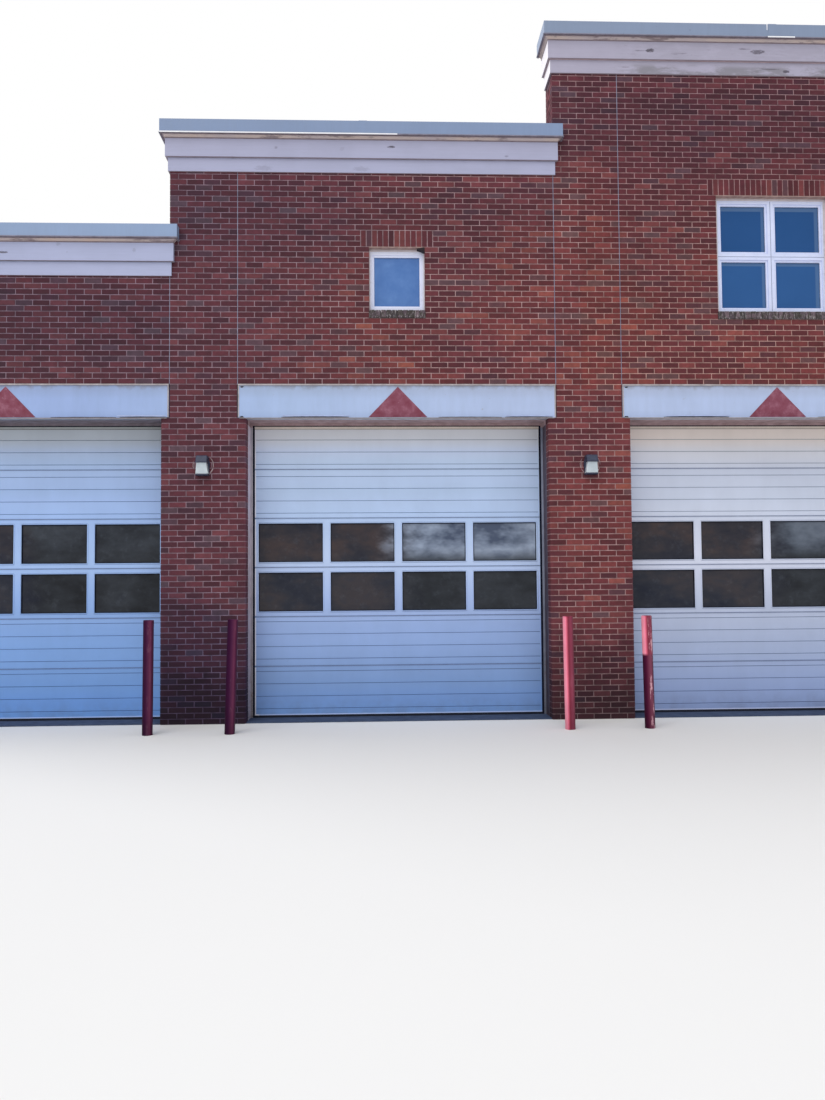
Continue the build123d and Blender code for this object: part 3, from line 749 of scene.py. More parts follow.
def door_bars(piece, inset, heights, profile, centres=BAY_CENTRES):
    """A profile of (y, z) points along each door, at each height over its foot."""
    for x in centres:
        for height in heights:
            piece.prism(moved(profile, DOOR_FACE, DOOR_FOOT + height), "x",
                        x - DOOR_HALF + inset, x + DOOR_HALF - inset)


SEAMS = [n * SECTION for n in range(1, SECTIONS)]
# Rolled lips of the sheet on both sides of each joint between sections, and a grey strip in the joint that
# paints its shadow line
SEAM_LIP = [(EMBED, -0.004), (-0.001, -0.004), (-0.0025, -0.002), (-0.0025, 0.002), (-0.001, 0.004),
            (EMBED, 0.004)]
SEAM_LIPS = [seam + side * 0.007 for seam in SEAMS for side in (1, -1)]
SEAM_STRIP = [(EMBED, -0.003), (-0.0006, -0.003), (-0.0006, 0.003), (EMBED, 0.003)]
# End caps: width, and distance from the section's edges
CAP = 0.014
CAP_GAP = 0.012
RETAINER = [(EMBED, 0.010), (-0.006, 0.010), (-0.006, 0.015), (-0.003, 0.022), (EMBED, 0.024)]
# Black rubber bulb along each door's foot, down to the floor
BULB_FOOT = SEAL_FOOT - DOOR_FOOT
BULB = [(EMBED, BULB_FOOT + 0.0005), (-0.010, BULB_FOOT + 0.0005), (-0.015, BULB_FOOT + 0.006),
        (-0.012, BULB_FOOT + 0.012), (-0.008, 0.011), (EMBED, 0.011)]
# Dusty cream strip over each door's head, in front of the black seal
STRIP_DROP = 0.019
STRIP_HEIGHT = 0.034
STRIP_TOP = SEAL_TOP - STRIP_DROP
HEAD_STRIP = [(-0.006, 0.0), (-0.010, 0.0), (-0.012, -0.006), (-0.010, 0.002 - STRIP_HEIGHT),
              (-0.005, -STRIP_HEIGHT), (-0.006, 0.004 - STRIP_HEIGHT)]


def door_caps(caps):
    """End caps of the sections, and a retainer along each door's foot."""
    for x in BAY_CENTRES:
        for n in range(SECTIONS):
            low = DOOR_FOOT + n * SECTION + CAP_GAP
            for a, b in ((x - DOOR_HALF, x - DOOR_HALF + CAP), (x + DOOR_HALF - CAP, x + DOOR_HALF)):
                plan = [(a, EMBED), (a, -0.002), (a + 0.002, -0.004), (b - 0.002, -0.004), (b, -0.002),
                        (b, EMBED)]
                caps.prism(moved(plan, 0.0, DOOR_FACE), "z", low, low + SECTION - 2 * CAP_GAP)
        door_bars(caps, 0.002, [0.0], RETAINER, [x])


# How far the sashes stand back in the frame, the joint between them, and the sealing's reach over the frame
SASH_SET_BACK = 0.012
SASH_SEAM = 0.005
SEALING_REACH = 0.012


def frame_outline(bay):
    """Half width and top of a window's frame inside its fillers."""
    half, head, _ = window_of_bay(bay)
    return half + JOINT / 2 - SIDE_FILLERS[step_of_bay(bay)], head * COURSE - HEAD_FILLER


def window_rings(piece, profile):
    """A profile of (outset, y) points round each pane of the windows."""
    for bay in WINDOW_BAYS:
        half, top = frame_outline(bay)
        count = 2 if bay == MIDDLE_BAY else 1
        wide, tall = 2 * half / count, (top - FRAME_FOOT) / count
        for column in range(count):
            for row in range(count):
                piece.ring(BAY_CENTRES[bay] + (column - (count - 1) / 2) * wide,
                           FRAME_FOOT + (row + 0.5) * tall, wide / 2 - FRAME_WIDTH, tall / 2 - FRAME_WIDTH,
                           0.004, moved(profile, 0.0, FRAME_FACE + SASH_SET_BACK), steps=2)


SASH_BEAD = [(0.0, 0.026), (-0.004, 0.024), (-0.004, 0.004), (-0.001, -0.001), (0.010, -0.003),
             (0.018, -0.001), (0.020, 0.002), (0.020, 0.006)]
SASH_GASKET = [(-0.012, 0.0245), (-0.011, 0.018), (-0.005, 0.014), (-0.003, 0.0245)]


def window_seams(seams):
    """Fine joints where the sashes of the tall window meet."""
    y0, y1 = FRAME_FACE - 0.0008, FRAME_FACE + 0.001
    half, top = frame_outline(MIDDLE_BAY)
    x, middle = BAY_CENTRES[MIDDLE_BAY], (FRAME_FOOT + top) / 2
    wide, end_gap = SASH_SEAM / 2, 0.004
    seams.box((x - wide, y0, FRAME_FOOT + end_gap), (x + wide, y1, top - end_gap))
    for start, end in ((x - half + end_gap, x - end_gap), (x + end_gap, x + half - end_gap)):
        seams.box((start, y0, middle - wide), (end, y1, middle + wide))


def window_heads(heads):
    """Steel angle under the soldier bricks."""
    for bay in WINDOW_BAYS:
        half, course, _ = window_of_bay(bay)
        x, opening, head = BAY_CENTRES[bay], half + JOINT / 2, course * COURSE
        heads.prism([(FRONT - 0.002, head), (FRONT - 0.005, head - 0.004), (FRONT - 0.002, head - 0.012),
                     (FRAME_FACE, head - 0.013), (FRAME_FACE, head)], "x", x - opening, x + opening)


def window_sealing(sealing):
    """Pale filler board over each frame, and smeared sealing down its sides, over its edge."""
    for bay in WINDOW_BAYS:
        opening, course, _ = window_of_bay(bay)
        x, edge, head = BAY_CENTRES[bay], opening + JOINT / 2 - BRICK_PROUD, course * COURSE
        top = frame_outline(bay)[1]
        reach = SEALING_REACH + SIDE_FILLERS[step_of_bay(bay)]
        smear = [(0.0, 0.010), (0.0, -0.012), (reach * 0.4, -0.010), (reach, -0.003), (reach + 0.001, 0.010)]
        for side in (-1, 1):
            plan = [(x + side * (edge - inset), FRAME_FACE + y) for inset, y in smear]
            sealing.prism(plan, "z", FRAME_FOOT + 0.003, top + 0.004)
        sealing.prism([(FRAME_FACE + 0.006, top - 0.002), (FRAME_FACE - 0.004, top),
                       (FRAME_FACE - 0.010, top + 0.006), (FRAME_FACE - 0.006, head - 0.013),
                       (FRAME_FACE + 0.006, head - 0.013)], "x", x - edge, x + edge)


def head_holes(hole):
    """Painted shade in the open joint at the small windows' upper right corner, where the sealing has fallen
    out.
    """
    outline = [(-0.092, -0.030), (-0.040, -0.012), (0.0, -0.004), (0.0, -0.068), (-0.022, -0.060),
               (-0.050, -0.044)]
    for bay in (1, 3):
        half, head, _ = window_of_bay(bay)
        hole.prism(moved(outline, BAY_CENTRES[bay] + half, head * COURSE), "y",
                   FRONT - 0.007, FRAME_FACE - 0.011)


# Broken ring of caulk: start and end of each arc in degrees, and its thickness
CAULK_ARCS = [(-150, -95, 0.006), (-80, -20, 0.008), (-12, 48, 0.005), (150, 205, 0.004), (62, 84, 0.003)]
CAULK_RADIUS = 0.121
# Middle of ring and back plate under the housing's foot, and the plate's half width and height
RING_DROP = 0.020
BACK_PLATE = (0.082, 0.108)
BACK_PLATE_STEPS = 24
# Flutes on a lens, and how wide they spread at its foot and its top
LENS_RIBS = 11
RIBBED_WIDTHS = (0.138, 0.108)


def lamp_caulk(caulk):
    """Old caulk on the bricks round each lamp."""
    for x in PIER_CENTRES:
        z = LAMP_FOOT - RING_DROP
        for start, end, thick in CAULK_ARCS:
            start += caulk.random.uniform(-10, 10)
            end += caulk.random.uniform(-10, 10)
            rows = []
            steps = max(4, round((end - start) / 6))
            for i in range(steps + 1):
                angle = radians(start + (end - start) * i / steps)
                radius = CAULK_RADIUS + caulk.random.uniform(-0.002, 0.002)
                width = thick * (0.35 + 0.65 * sin(pi * i / steps)) * caulk.random.uniform(0.7, 1.1)
                rows.append([(x + r * cos(angle), FRONT - n, z + r * sin(angle))
                             for r, n in ((radius - width, 0.0035), (radius - width / 2, 0.0085),
                                          (radius + width / 2, 0.0085), (radius + width, 0.0035))])
            caulk.strip(rows)


def lamp_plates(plates):
    """Cast back plate, side ribs and foot of each lamp."""
    rib = [(-0.018, 0.002), (-0.052, 0.002), (-0.030, -0.128), (-0.018, -0.128)]
    foot = [(-0.010, -0.150), (-0.094, -0.150), (-0.098, -0.144), (-0.096, -0.133), (-0.010, -0.133)]
    lip = [(-0.124, -0.004), (-0.134, -0.006), (-0.134, 0.006), (-0.128, 0.010)]
    for x in PIER_CENTRES:
        angles = [2 * pi * i / BACK_PLATE_STEPS for i in range(BACK_PLATE_STEPS)]
        disc = [(BACK_PLATE[0] * cos(a), BACK_PLATE[1] * sin(a) - RING_DROP) for a in angles]
        plates.prism(moved(disc, x, LAMP_FOOT), "y", FRONT - 0.018, FRONT - 0.002)
        for outline, x0, x1 in ((rib, -0.078, -0.060), (rib, 0.060, 0.078), (foot, -0.074, 0.074),
                                (lip, -0.070, 0.070)):
            plates.prism(moved(outline, FRONT, LAMP_FOOT), "x", x + x0, x + x1)


def lens_ribs(ribs):
    """Vertical flutes on the face of each lens, which is wider and nearer to the wall at its foot."""
    low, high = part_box("lamp_lenses")
    for x in PIER_CENTRES:
        for i in range(LENS_RIBS):
            share = (i + 0.5) / LENS_RIBS - 0.5
            rows = []
            for z, px, y in ((low.z + 0.002, x + share * RIBBED_WIDTHS[0], FRONT - 0.092),
                             (high.z - 0.002, x + share * RIBBED_WIDTHS[1], FRONT - 0.122)):
                rows.append([(px - 0.004, y + 0.001, z), (px - 0.002, y - 0.0018, z),
                             (px + 0.002, y - 0.0018, z), (px + 0.004, y + 0.001, z)])
            ribs.strip(rows)


SEAM_SPACING = 0.45
SEAM_WIDTH = 0.014
SEAM_HEIGHT = 0.034
SEAM_CAP = 0.006
SEAM_START = 0.15
STRAP_SPACING = 0.9
STRAP_WIDTH = 0.025
FLASHING_HEIGHT = 0.20
FLASHING_FOOT = 0.12
ROOF_LENGTH = ROOF_BACK - INSIDE


def roof_band(x0, x1, low, high):
    """Outline of a layer on one roof slope, between two heights over the sheet."""
    return [(x0, roof_top(x0) + low), (x1, roof_top(x1) + low), (x1, roof_top(x1) + high),
            (x0, roof_top(x0) + high)]


def roof_seams(seams):
    """Standing seams from the ridge cap down to both eaves."""
    count = round(ROOF_LENGTH / SEAM_SPACING)
    for side in (-1, 1):
        for i in range(1, count):
            y = INSIDE + ROOF_LENGTH * i / count
            for low, high, half in ((-EMBED, SEAM_HEIGHT, SEAM_WIDTH / 2),
                                    (SEAM_HEIGHT, SEAM_HEIGHT + SEAM_CAP, SEAM_WIDTH)):
                seams.prism(roof_band(side * SEAM_START, side * EAVE, low, high), "y", y - half, y + half)


def parapet_flashing(flashing):
    """Sheet flashing where the roof meets the back of the front wall."""
    for side in (-1, 1):
        for low, high, end in ((0.0, FLASHING_HEIGHT, 0.009), (0.004, 0.007, FLASHING_FOOT)):
            flashing.prism(roof_band(0.0, side * EAVE, low, high), "y", INSIDE + 0.006, INSIDE + end)


def gutter_straps(straps):
    """Straps across the gutters."""
    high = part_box("gutters")[1]
    count = round(ROOF_LENGTH / STRAP_SPACING)
    for side in (-1, 1):
        for i in range(count):
            y = INSIDE + ROOF_LENGTH * (i + 0.5) / count
            x0, x1 = sorted((side * (EAVE + 0.022), side * high.x))
            straps.box((x0, y - STRAP_WIDTH / 2, high.z - 0.004), (x1, y + STRAP_WIDTH / 2, high.z - 0.001))


# Finishes

# Places where a look changes into another, each given by where the change begins and ends.
# X, over the second and the third pier, and over the whole length of three lintels
OVER_PIER_2 = (-7.2, -6.9)
OVER_PIER_3 = (-2.4, -2.2)
OVER_LINTELS = (-9.4, -2.4)
# Distance from the middle of the front: past the tall window, and where its warmer bricks end
PAST_TALL_WINDOW = (2.0, 2.2)
PAST_WARM_BRICKS = (4.2, 7.0)
# Y, from the looks of the front to those of the other walls
BEHIND_FRONT = (FRONT + 0.40, FRONT + 2.6)
# Z, from the lowest cornice to the highest one, into the highest one's boards, and between the doors' panes
UP_CORNICES = (5.5, 8.1)
INTO_TALL_CORNICE = (7.9, 7.94)
UPPER_PANES = (1.85, 2.15)


def cornice_distance(f):
    """How far a place on the front lies under the cornice of its block."""
    foot = cornice_foot(MIDDLE_BAY)
    rise = foot - cornice_foot(MIDDLE_BAY - 1)
    for bays in range(MIDDLE_BAY):
        end = PITCH / 2 + PIER / 2 + bays * PITCH
        foot = f.math("SUBTRACT", foot, f.between(f.apart(f.x), end - 0.01, end + 0.01, 0.0, rise))
    return f.math("SUBTRACT", foot, f.z)


def across_bay(f):
    """How far to the right of its bay's middle a place lies."""
    shifted = f.math("ADD", f.x, (BAYS + 0.5) * PITCH)
    return f.math("SUBTRACT", f.math("MODULO", shifted, PITCH), PITCH / 2)


def wall_shade(f):
    """Painted shade, partly grime, darker and bluish at the foot of the walls, higher on the left; painted
    shade under the cornices.
    """
    # Painted shade at the foot of the walls, partly grime: deepest on the front's left, softer behind the
    # front
    height = f.math("ADD", f.z, f.varied(f.noise(2.2), -0.18, 0.18))
    left = f.factors(f.between(height, 0.0, 2.2), (0.0, 0.12, 0.15, 0.32), (0.15, 0.22, 0.28, 0.51),
                     (0.33, 0.37, 0.47, 0.72), (0.62, 0.55, 0.68, 0.86), (0.95, 0.88, 0.96, 1.0))
    right = f.factors(f.between(height, 0.0, 2.2), (0.0, 0.34, 0.38, 0.42), (0.25, 0.62, 0.62, 0.66),
                      (0.45, 0.96, 0.98, 1.0))
    foot = f.mix(f.between(f.x, -5.6, -3.4), left, right)
    unseen = f.factors(f.between(height, 0.0, 1.6), (0.0, 0.58, 0.59, 0.62), (0.35, 0.92, 0.93, 0.95),
                       (0.7, 1.0, 1.0, 1.0))
    foot = f.mix(f.between(f.y, *BEHIND_FRONT, 1.0, 0.0), unseen, foot)
    # Painted shade under the cornice of each block
    under = f.factors(f.between(cornice_distance(f), 0.0, 1.5), (0.0, 0.98, 0.96, 1.0),
                      (0.06, 0.84, 0.86, 0.93), (0.25, 0.77, 0.81, 0.89), (0.6, 0.83, 0.87, 0.93),
                      (1.0, 1.0, 1.0, 1.0))
    # Painted shade over the left bays; on the tall block, painted light low down and painted shade high up
    side = f.factors(f.between(f.x, -9.6, -6.4), (0.0, 0.90, 0.93, 0.94), (1.0, 1.0, 1.0, 1.0))
    tall = f.factors(f.between(f.z, 4.0, 8.0), (0.0, 1.16, 1.08, 0.95), (0.3, 0.98, 0.95, 0.90),
                     (0.8, 0.86, 0.80, 0.84), (1.0, 0.88, 0.84, 0.86))
    middle = f.times(f.between(f.apart(f.x), 2.40, 2.44, 1.0, 0.0), f.between(f.z, 3.95, 4.05))
    side = f.multiplied(side, f.mix(middle, WHITE, tall))
    return f.multiplied(f.multiplied(foot, under), side)


def tones_of_part(f):
    """The three random tones of a brick or another part of a piece."""
    return f.split(f.node("ShaderNodeAttribute", {"attribute_name": "tone"}).outputs["Color"])


def brick_finish():
    """Wire-cut brick: most dark red, some brown-grey or purple, warmer in the middle of the front; painted
    light and shade.
    """
    f = Finish("brick_red", 0.85, 0.25)
    kind, level, _ = tones_of_part(f)
    cool = f.shades(kind, (0.0, 94, 69, 77), (0.05, 86, 59, 69), (0.09, 75, 45, 56), (0.16, 79, 41, 50),
                    (0.5, 88, 44, 53), (0.85, 100, 50, 58), (1.0, 112, 60, 66))
    warm = f.shades(kind, (0.0, 100, 69, 71), (0.05, 94, 60, 64), (0.09, 86, 44, 50), (0.16, 92, 44, 48),
                    (0.5, 104, 49, 52), (0.85, 119, 58, 59), (0.985, 134, 72, 66), (1.0, 154, 84, 72))
    across = f.times(f.between(f.apart(f.x), *PAST_WARM_BRICKS, 1.0, 0.0),
                     f.between(f.y, *BEHIND_FRONT, 1.0, 0.35))
    height = f.times(f.between(f.z, 5.6, 7.4, 1.0, 0.12), f.between(f.z, 0.5, 2.0))
    patches = f.between(f.noise(0.55, 2.0), 0.38, 0.62, 0.35, 1.15)
    base = f.mix(f.times(across, height, patches), cool, warm)
    grain = f.noise((220.0, 220.0, 70.0), 4.0, 0.65)
    mottle = f.noise(14.0, 4.0, 0.6)
    shade = f.times(f.between(mottle, 0.3, 0.72, 0.84, 1.16), f.between(grain, 0.25, 0.75, 0.88, 1.12),
                    f.between(level, 0.0, 1.0, 0.90, 1.12))
    # Painted light: bricks that look right in the doorways, up to the lintels, are made lighter
    edge = f.times(f.between(f.facing()[0], 0.15, 0.8), f.between(f.z, DOORWAY_TOP, 3.75, 1.0, 0.0))
    base = f.multiplied(base, f.mix(edge, WHITE, (1.5, 1.75, 1.75, 1.0)))
    f.colour(f.multiplied(f.scaled(base, shade), wall_shade(f)))
    f.roughness(f.varied(mottle, 0.78, 0.92))
    f.bump(f.math("ADD", grain, f.times(mottle, 0.8)), 0.55, 0.0016)
    return f


def sill_finish():
    """The same brick, weathered dark with moss and pale crumbled joints."""
    f = Finish("brick_sill", 0.92, 0.2)
    base = f.shades(tones_of_part(f)[0], (0.0, 66, 61, 64), (0.5, 88, 76, 84), (1.0, 112, 96, 104))
    aged = f.mix(f.between(f.noise(26.0, 5.0, 0.7), 0.42, 0.6), base, (66, 62, 58))
    crust = f.between(f.noise((74.0, 74.0, 15.0), 5.0, 0.7), 0.54, 0.64, 0.0, 0.85)
    f.colour(f.mix(crust, aged, (172, 166, 168)))
    f.bump(f.noise(90.0, 4.0), 0.7, 0.003)
    return f


def mortar_finish():
    """Pinkish grey mortar, sandy and a little washed out of the joints in places, with most of the walls'
    painted shade.
    """
    f = Finish("mortar_grey", 0.95, 0.15)
    base = f.mix(f.between(f.apart(f.x), *PAST_WARM_BRICKS, 1.0, 0.0), (160, 132, 141), (178, 146, 145))
    sand = f.noise(420.0, 3.0, 0.7)
    washed = f.between(f.noise(9.0, 4.0, 0.65), 0.35, 0.62, 0.68, 1.08)
    shade = f.times(washed, f.between(sand, 0.2, 0.8, 0.85, 1.12), f.varied(f.noise(2.4), 0.9, 1.1))
    # Most of the walls' painted shade
    f.colour(f.multiplied(f.scaled(base, shade), f.mix(0.85, WHITE, wall_shade(f))))
    f.bump(sand, 0.5, 0.001)
    return f


def concrete_finish():
    """Pale floor inside, and the threshold in front of each door painted dark blue-grey as shade."""
    f = Finish("concrete_floor", 0.9, 0.2)
    dry = f.tones(f.noise(3.0, 5.0, 0.6), (138, 134, 132), (170, 166, 162))
    # Painted shade on the threshold outside the doors
    shaded_threshold = f.tones(f.noise(9.0, 5.0, 0.6), (54, 66, 92), (72, 86, 112))
    base = f.mix(f.between(f.y, DOOR_FACE - 0.02, DOOR_FACE + 0.02, 1.0, 0.0), dry, shaded_threshold)
    f.colour(f.scaled(base, f.between(f.noise(180.0), 0.2, 0.8, 0.86, 1.1)))
    f.bump(f.noise(240.0), 0.4, 0.001)
    return f


def left_dusk(f):
    """Deeper, bluer shade under the lintels to the left."""
    return f.mix(f.between(f.x, *OVER_PIER_2), (0.52, 0.62, 0.70, 1.0), WHITE)


def lintel_finish():
    """White painted sheet: grime under its top edge, pale streaks, pinkish grey underneath."""
    f = Finish("lintel_paint", 0.55, 0.35)
    face = f.shades(f.between(f.x, *OVER_LINTELS), (0.0, 152, 174, 220), (0.45, 166, 187, 224),
                    (1.0, 176, 192, 226))
    height = f.factors(f.between(f.z, DOORWAY_TOP, LINTEL_TOP), (0.0, 0.90, 0.91, 0.93),
                       (0.12, 1.0, 1.0, 1.0), (0.6, 1.0, 1.0, 1.0), (1.0, 0.9, 0.86, 0.82))
    face = f.scaled(f.multiplied(face, height), f.varied(f.noise((13.0, 1.0, 2.2), 3.0, 0.6), 0.975, 1.02),
                    f.varied(f.noise(1.6), 0.96, 1.03))
    ragged = f.between(f.noise((9.0, 1.0, 6.0), 4.0, 0.65), 0.25, 0.75, -0.03, 0.03)
    depth = f.math("SUBTRACT", LINTEL_TOP, f.math("ADD", f.z, ragged))
    face = f.mix(f.between(depth, 0.0, 0.07, 0.5, 0.0), face, (118, 110, 112))
    spots = f.between(f.noise(16.0, 3.0, 0.7), 0.68, 0.74, 0.0, 0.35)
    face = f.mix(spots, face, (140, 132, 138))
    under = f.tones(f.noise(9.0, 4.0, 0.6), (160, 161, 172), (198, 199, 210))
    f.colour(f.mix(f.facing_down(), face, f.multiplied(under, left_dusk(f))))
    f.bump(f.noise(34.0, 4.0), 0.15, 0.001)
    return f


def triangle_finish():
    """Red paint that has faded in blotches."""
    f = Finish("triangle_paint", 0.7, 0.3)
    base = f.shades(f.noise(9.0, 4.0, 0.6), (0.3, 119, 53, 71), (0.5, 131, 71, 90), (0.7, 153, 99, 117))
    chips = f.between(f.noise(38.0, 4.0, 0.7), 0.66, 0.72, 0.0, 0.5)
    low = f.between(f.z, DOORWAY_TOP, DOORWAY_TOP + 0.12, 0.84, 1.0)
    f.colour(f.scaled(f.mix(chips, base, (186, 160, 172)), low))
    f.bump(f.noise(60.0, 4.0), 0.25, 0.001)
    return f


# Marks on the boards: X, Z, half width, half height and how dark
BOARD_MARKS = [
    (-9.373, 5.638, 0.05, 0.012, 0.8), (-8.728, 5.74, 0.025, 0.016, 0.2),
    (-8.621, 5.643, 0.012, 0.01, 0.15), (-7.828, 5.673, 0.018, 0.022, 0.2),
    (-6.132, 6.947, 0.02, 0.014, 0.35), (-5.333, 6.937, 0.03, 0.022, 0.12),
    (-4.737, 6.969, 0.04, 0.016, 1.0), (-3.32, 6.87, 0.022, 0.014, 0.4),
    (-6.655, 6.827, 0.02, 0.008, 0.5), (-6.293, 6.707, 0.1, 0.03, 0.2),
    (-5.104, 6.707, 0.09, 0.03, 0.2), (-1.519, 8.226, 0.05, 0.022, 0.9),
    (-1.66, 8.222, 0.07, 0.008, 0.5), (-0.172, 8.228, 0.09, 0.026, 0.75),
    (-0.33, 8.262, 0.07, 0.008, 0.6), (0.205, 8.002, 0.04, 0.018, 0.9),
    (0.0, 8.03, 0.11, 0.007, 0.6),
]


def board_finish():
    """Painted board with fine grain and knots; the highest one is weathered grey along its foot; painted sun
    and bounce light.
    """
    f = Finish("board_paint", 0.6, 0.3)
    grain = f.noise((2.4, 2.4, 70.0), 4.0, 0.6)
    base = f.shades(f.between(f.z, *UP_CORNICES), (0.0, 171, 177, 208), (0.5, 167, 169, 196),
                    (1.0, 169, 165, 185))
    base = f.scaled(base, f.varied(f.noise(2.6), 0.97, 1.03), f.between(grain, 0.25, 0.75, 0.97, 1.02))
    lap = cornice_foot(MIDDLE_BAY) + FRIEZE[0]
    smudge = f.between(f.noise((2.4, 2.4, 7.0), 5.0, 0.7), 0.38, 0.56)
    foot = f.between(f.z, lap - 0.03, lap - 0.10, 0.2, 1.0)
    where = f.times(f.between(f.x, -2.1, -1.7), f.between(f.z, *INTO_TALL_CORNICE, 0.05, 0.8))
    base = f.mix(f.times(smudge, f.times(foot, where)), base, (126, 124, 132))
    cracks = f.between(f.noise((3.0, 3.0, 42.0), 4.0, 0.7), 0.62, 0.70)
    cracked = f.times(f.between(f.x, -2.3, -1.9), f.between(f.z, *INTO_TALL_CORNICE, 0.04, 0.6))
    base = f.mix(f.times(cracks, cracked), base, (104, 96, 108))
    ragged = f.varied(f.noise((24.0, 24.0, 60.0), 4.0, 0.7), -0.8, 0.8)
    marks = 0.0
    for x, z, wide, tall, amount in BOARD_MARKS:
        across = f.math("DIVIDE", f.math("SUBTRACT", f.x, x), wide)
        up = f.math("DIVIDE", f.math("SUBTRACT", f.z, z), tall)
        reach = f.math("ADD", f.times(across, across), f.times(up, up))
        marks = f.math("MAXIMUM", marks, f.between(f.math("ADD", reach, ragged), 0.3, 1.6, amount, 0.0))
    base = f.mix(marks, base, (78, 72, 84))
    # Painted sunlight on the tall block's boards where they look left
    sunlit_returns = f.times(f.between(f.facing()[0], -0.9, -0.5, 0.85, 0.0), f.between(f.z, 7.6, 7.7))
    base = f.mix(sunlit_returns, base, (238, 234, 238))
    # Pinkish grey underneath, painted light bounced up from the bricks
    f.colour(f.mix(f.facing_down(), base, f.mix(f.noise(12.0), (164, 150, 158), (150, 140, 150))))
    f.bump(grain, 0.25, 0.001)
    return f


def lap_finish():
    """Bare wood of the lap lines, darkened as their painted shadow line: grey on the low blocks, browner on
    the high one.
    """
    f = Finish("lap_wood_and_shadow", 0.75, 0.25)
    base = f.shades(f.between(f.z, *UP_CORNICES), (0.0, 112, 114, 130), (0.5, 130, 124, 138),
                    (1.0, 164, 142, 146))
    f.colour(f.scaled(base, f.varied(f.noise(6.0, 5.0, 0.7), 0.8, 1.15)))
    f.bump(f.noise(70.0, 4.0), 0.5, 0.002)
    return f


def cove_finish():
    """Cream moulding, worn to brown-grey wood in places."""
    f = Finish("cove_tan", 0.65, 0.3)
    worn = f.between(f.noise((2.2, 2.2, 12.0), 5.0, 0.7), 0.52, 0.64)
    base = f.shades(f.noise(2.0, 4.0), (0.3, 184, 172, 178), (0.55, 200, 184, 180), (0.75, 204, 180, 168))
    f.colour(f.mix(worn, base, (142, 128, 132)))
    f.bump(f.noise(50.0, 4.0), 0.3, 0.001)
    return f


def coping_finish():
    """Grey-blue coated sheet with faint rain streaks, greyer on the higher blocks."""
    f = Finish("coping_sheet", 0.42, 0.45)
    streaks = f.noise((26.0, 26.0, 1.6), 4.0, 0.65)
    base = f.shades(f.between(f.z, 5.9, 8.4), (0.0, 135, 156, 190), (0.5, 122, 141, 175),
                    (1.0, 127, 142, 169))
    base = f.scaled(base, f.varied(f.noise(1.3), 0.97, 1.03))
    specks = f.between(f.noise(16.0, 4.0, 0.7), 0.66, 0.72)
    base = f.mix(f.times(specks, f.between(f.z, 8.0, 8.2, 0.05, 0.45)), base, (96, 104, 128))
    f.colour(f.scaled(base, f.between(streaks, 0.28, 0.72, 0.98, 1.02)))
    f.roughness(f.varied(streaks, 0.36, 0.5))
    f.bump(f.noise(2.0, 2.0), 0.1, 0.002)
    return f


def door_colour_and_shade(f):
    """Door colour with painted light and shade by height: grey head, bluish white, darker blue foot; greyer
    to the right.
    """
    height = f.between(f.z, 0.0, 3.7)
    # Darker and bluer towards the foot, as painted shade
    middle = f.shades(height, (0.0, 118, 158, 218), (0.009, 117, 154, 214), (0.032, 122, 155, 208),
                      (0.066, 129, 159, 209), (0.111, 138, 166, 216), (0.164, 145, 172, 222),
                      (0.225, 149, 174, 222), (0.264, 157, 180, 225), (0.34, 165, 187, 232),
                      (0.56, 188, 207, 240), (0.752, 178, 201, 237), (0.815, 179, 200, 234),
                      (0.854, 176, 197, 229), (0.888, 180, 200, 233), (0.946, 185, 204, 233),
                      (0.970, 197, 211, 238), (0.990, 217, 221, 229))
    right = f.shades(height, (0.0, 142, 162, 208), (0.10, 163, 178, 212), (0.23, 178, 189, 216),
                     (0.34, 191, 200, 224), (0.56, 214, 219, 238), (0.82, 197, 206, 226),
                     (0.92, 194, 202, 222), (0.97, 214, 216, 226), (0.99, 236, 226, 220))
    tint = f.mix(f.between(f.x, *OVER_PIER_3), middle, right)
    # Painted shade: the doors left of the second pier are darker and bluer
    left = f.factors(height, (0.0, 0.86, 1.02, 1.12), (0.145, 0.73, 0.89, 0.98), (0.82, 0.77, 0.84, 0.97),
                     (0.93, 0.77, 0.83, 0.93), (0.99, 0.70, 0.745, 0.775))
    return f.multiplied(tint, f.mix(f.between(f.x, *OVER_PIER_2), left, WHITE))


def door_finish():
    """White coated steel with painted shade in its grooves, dust, faint rain streaks, and scuffs near the
    foot.
    """
    f = Finish("door_coating", 0.5, 0.4)
    streaks = f.noise((5.0, 1.0, 0.9), 3.0, 0.6)
    clouds = f.noise(1.7)
    # Painted shade in the grooves, on the faces that look up or down
    groove_shade = f.between(f.apart(f.facing()[2]), 0.3, 0.5)
    base = f.multiplied(door_colour_and_shade(f), f.mix(groove_shade, WHITE, (0.46, 0.50, 0.56, 1.0)))
    base = f.scaled(base, f.times(f.varied(streaks, 0.985, 1.015), f.varied(clouds, 0.97, 1.03)))
    scuffs = f.times(f.between(f.noise((7.0, 1.0, 26.0), 5.0, 0.75), 0.66, 0.72),
                     f.between(f.z, 0.9, 1.25, 0.5, 0.04))
    base = f.mix(scuffs, base, (104, 112, 134))
    splash = f.times(f.between(f.z, 0.03, 0.35, 0.22, 0.0), f.between(f.noise(6.0, 4.0), 0.35, 0.7))
    f.colour(f.mix(splash, base, (96, 100, 116)))
    f.roughness(f.varied(clouds, 0.44, 0.58))
    f.bump(f.noise((3.0, 1.0, 9.0), 3.0, 0.6), 0.12, 0.002)
    return f


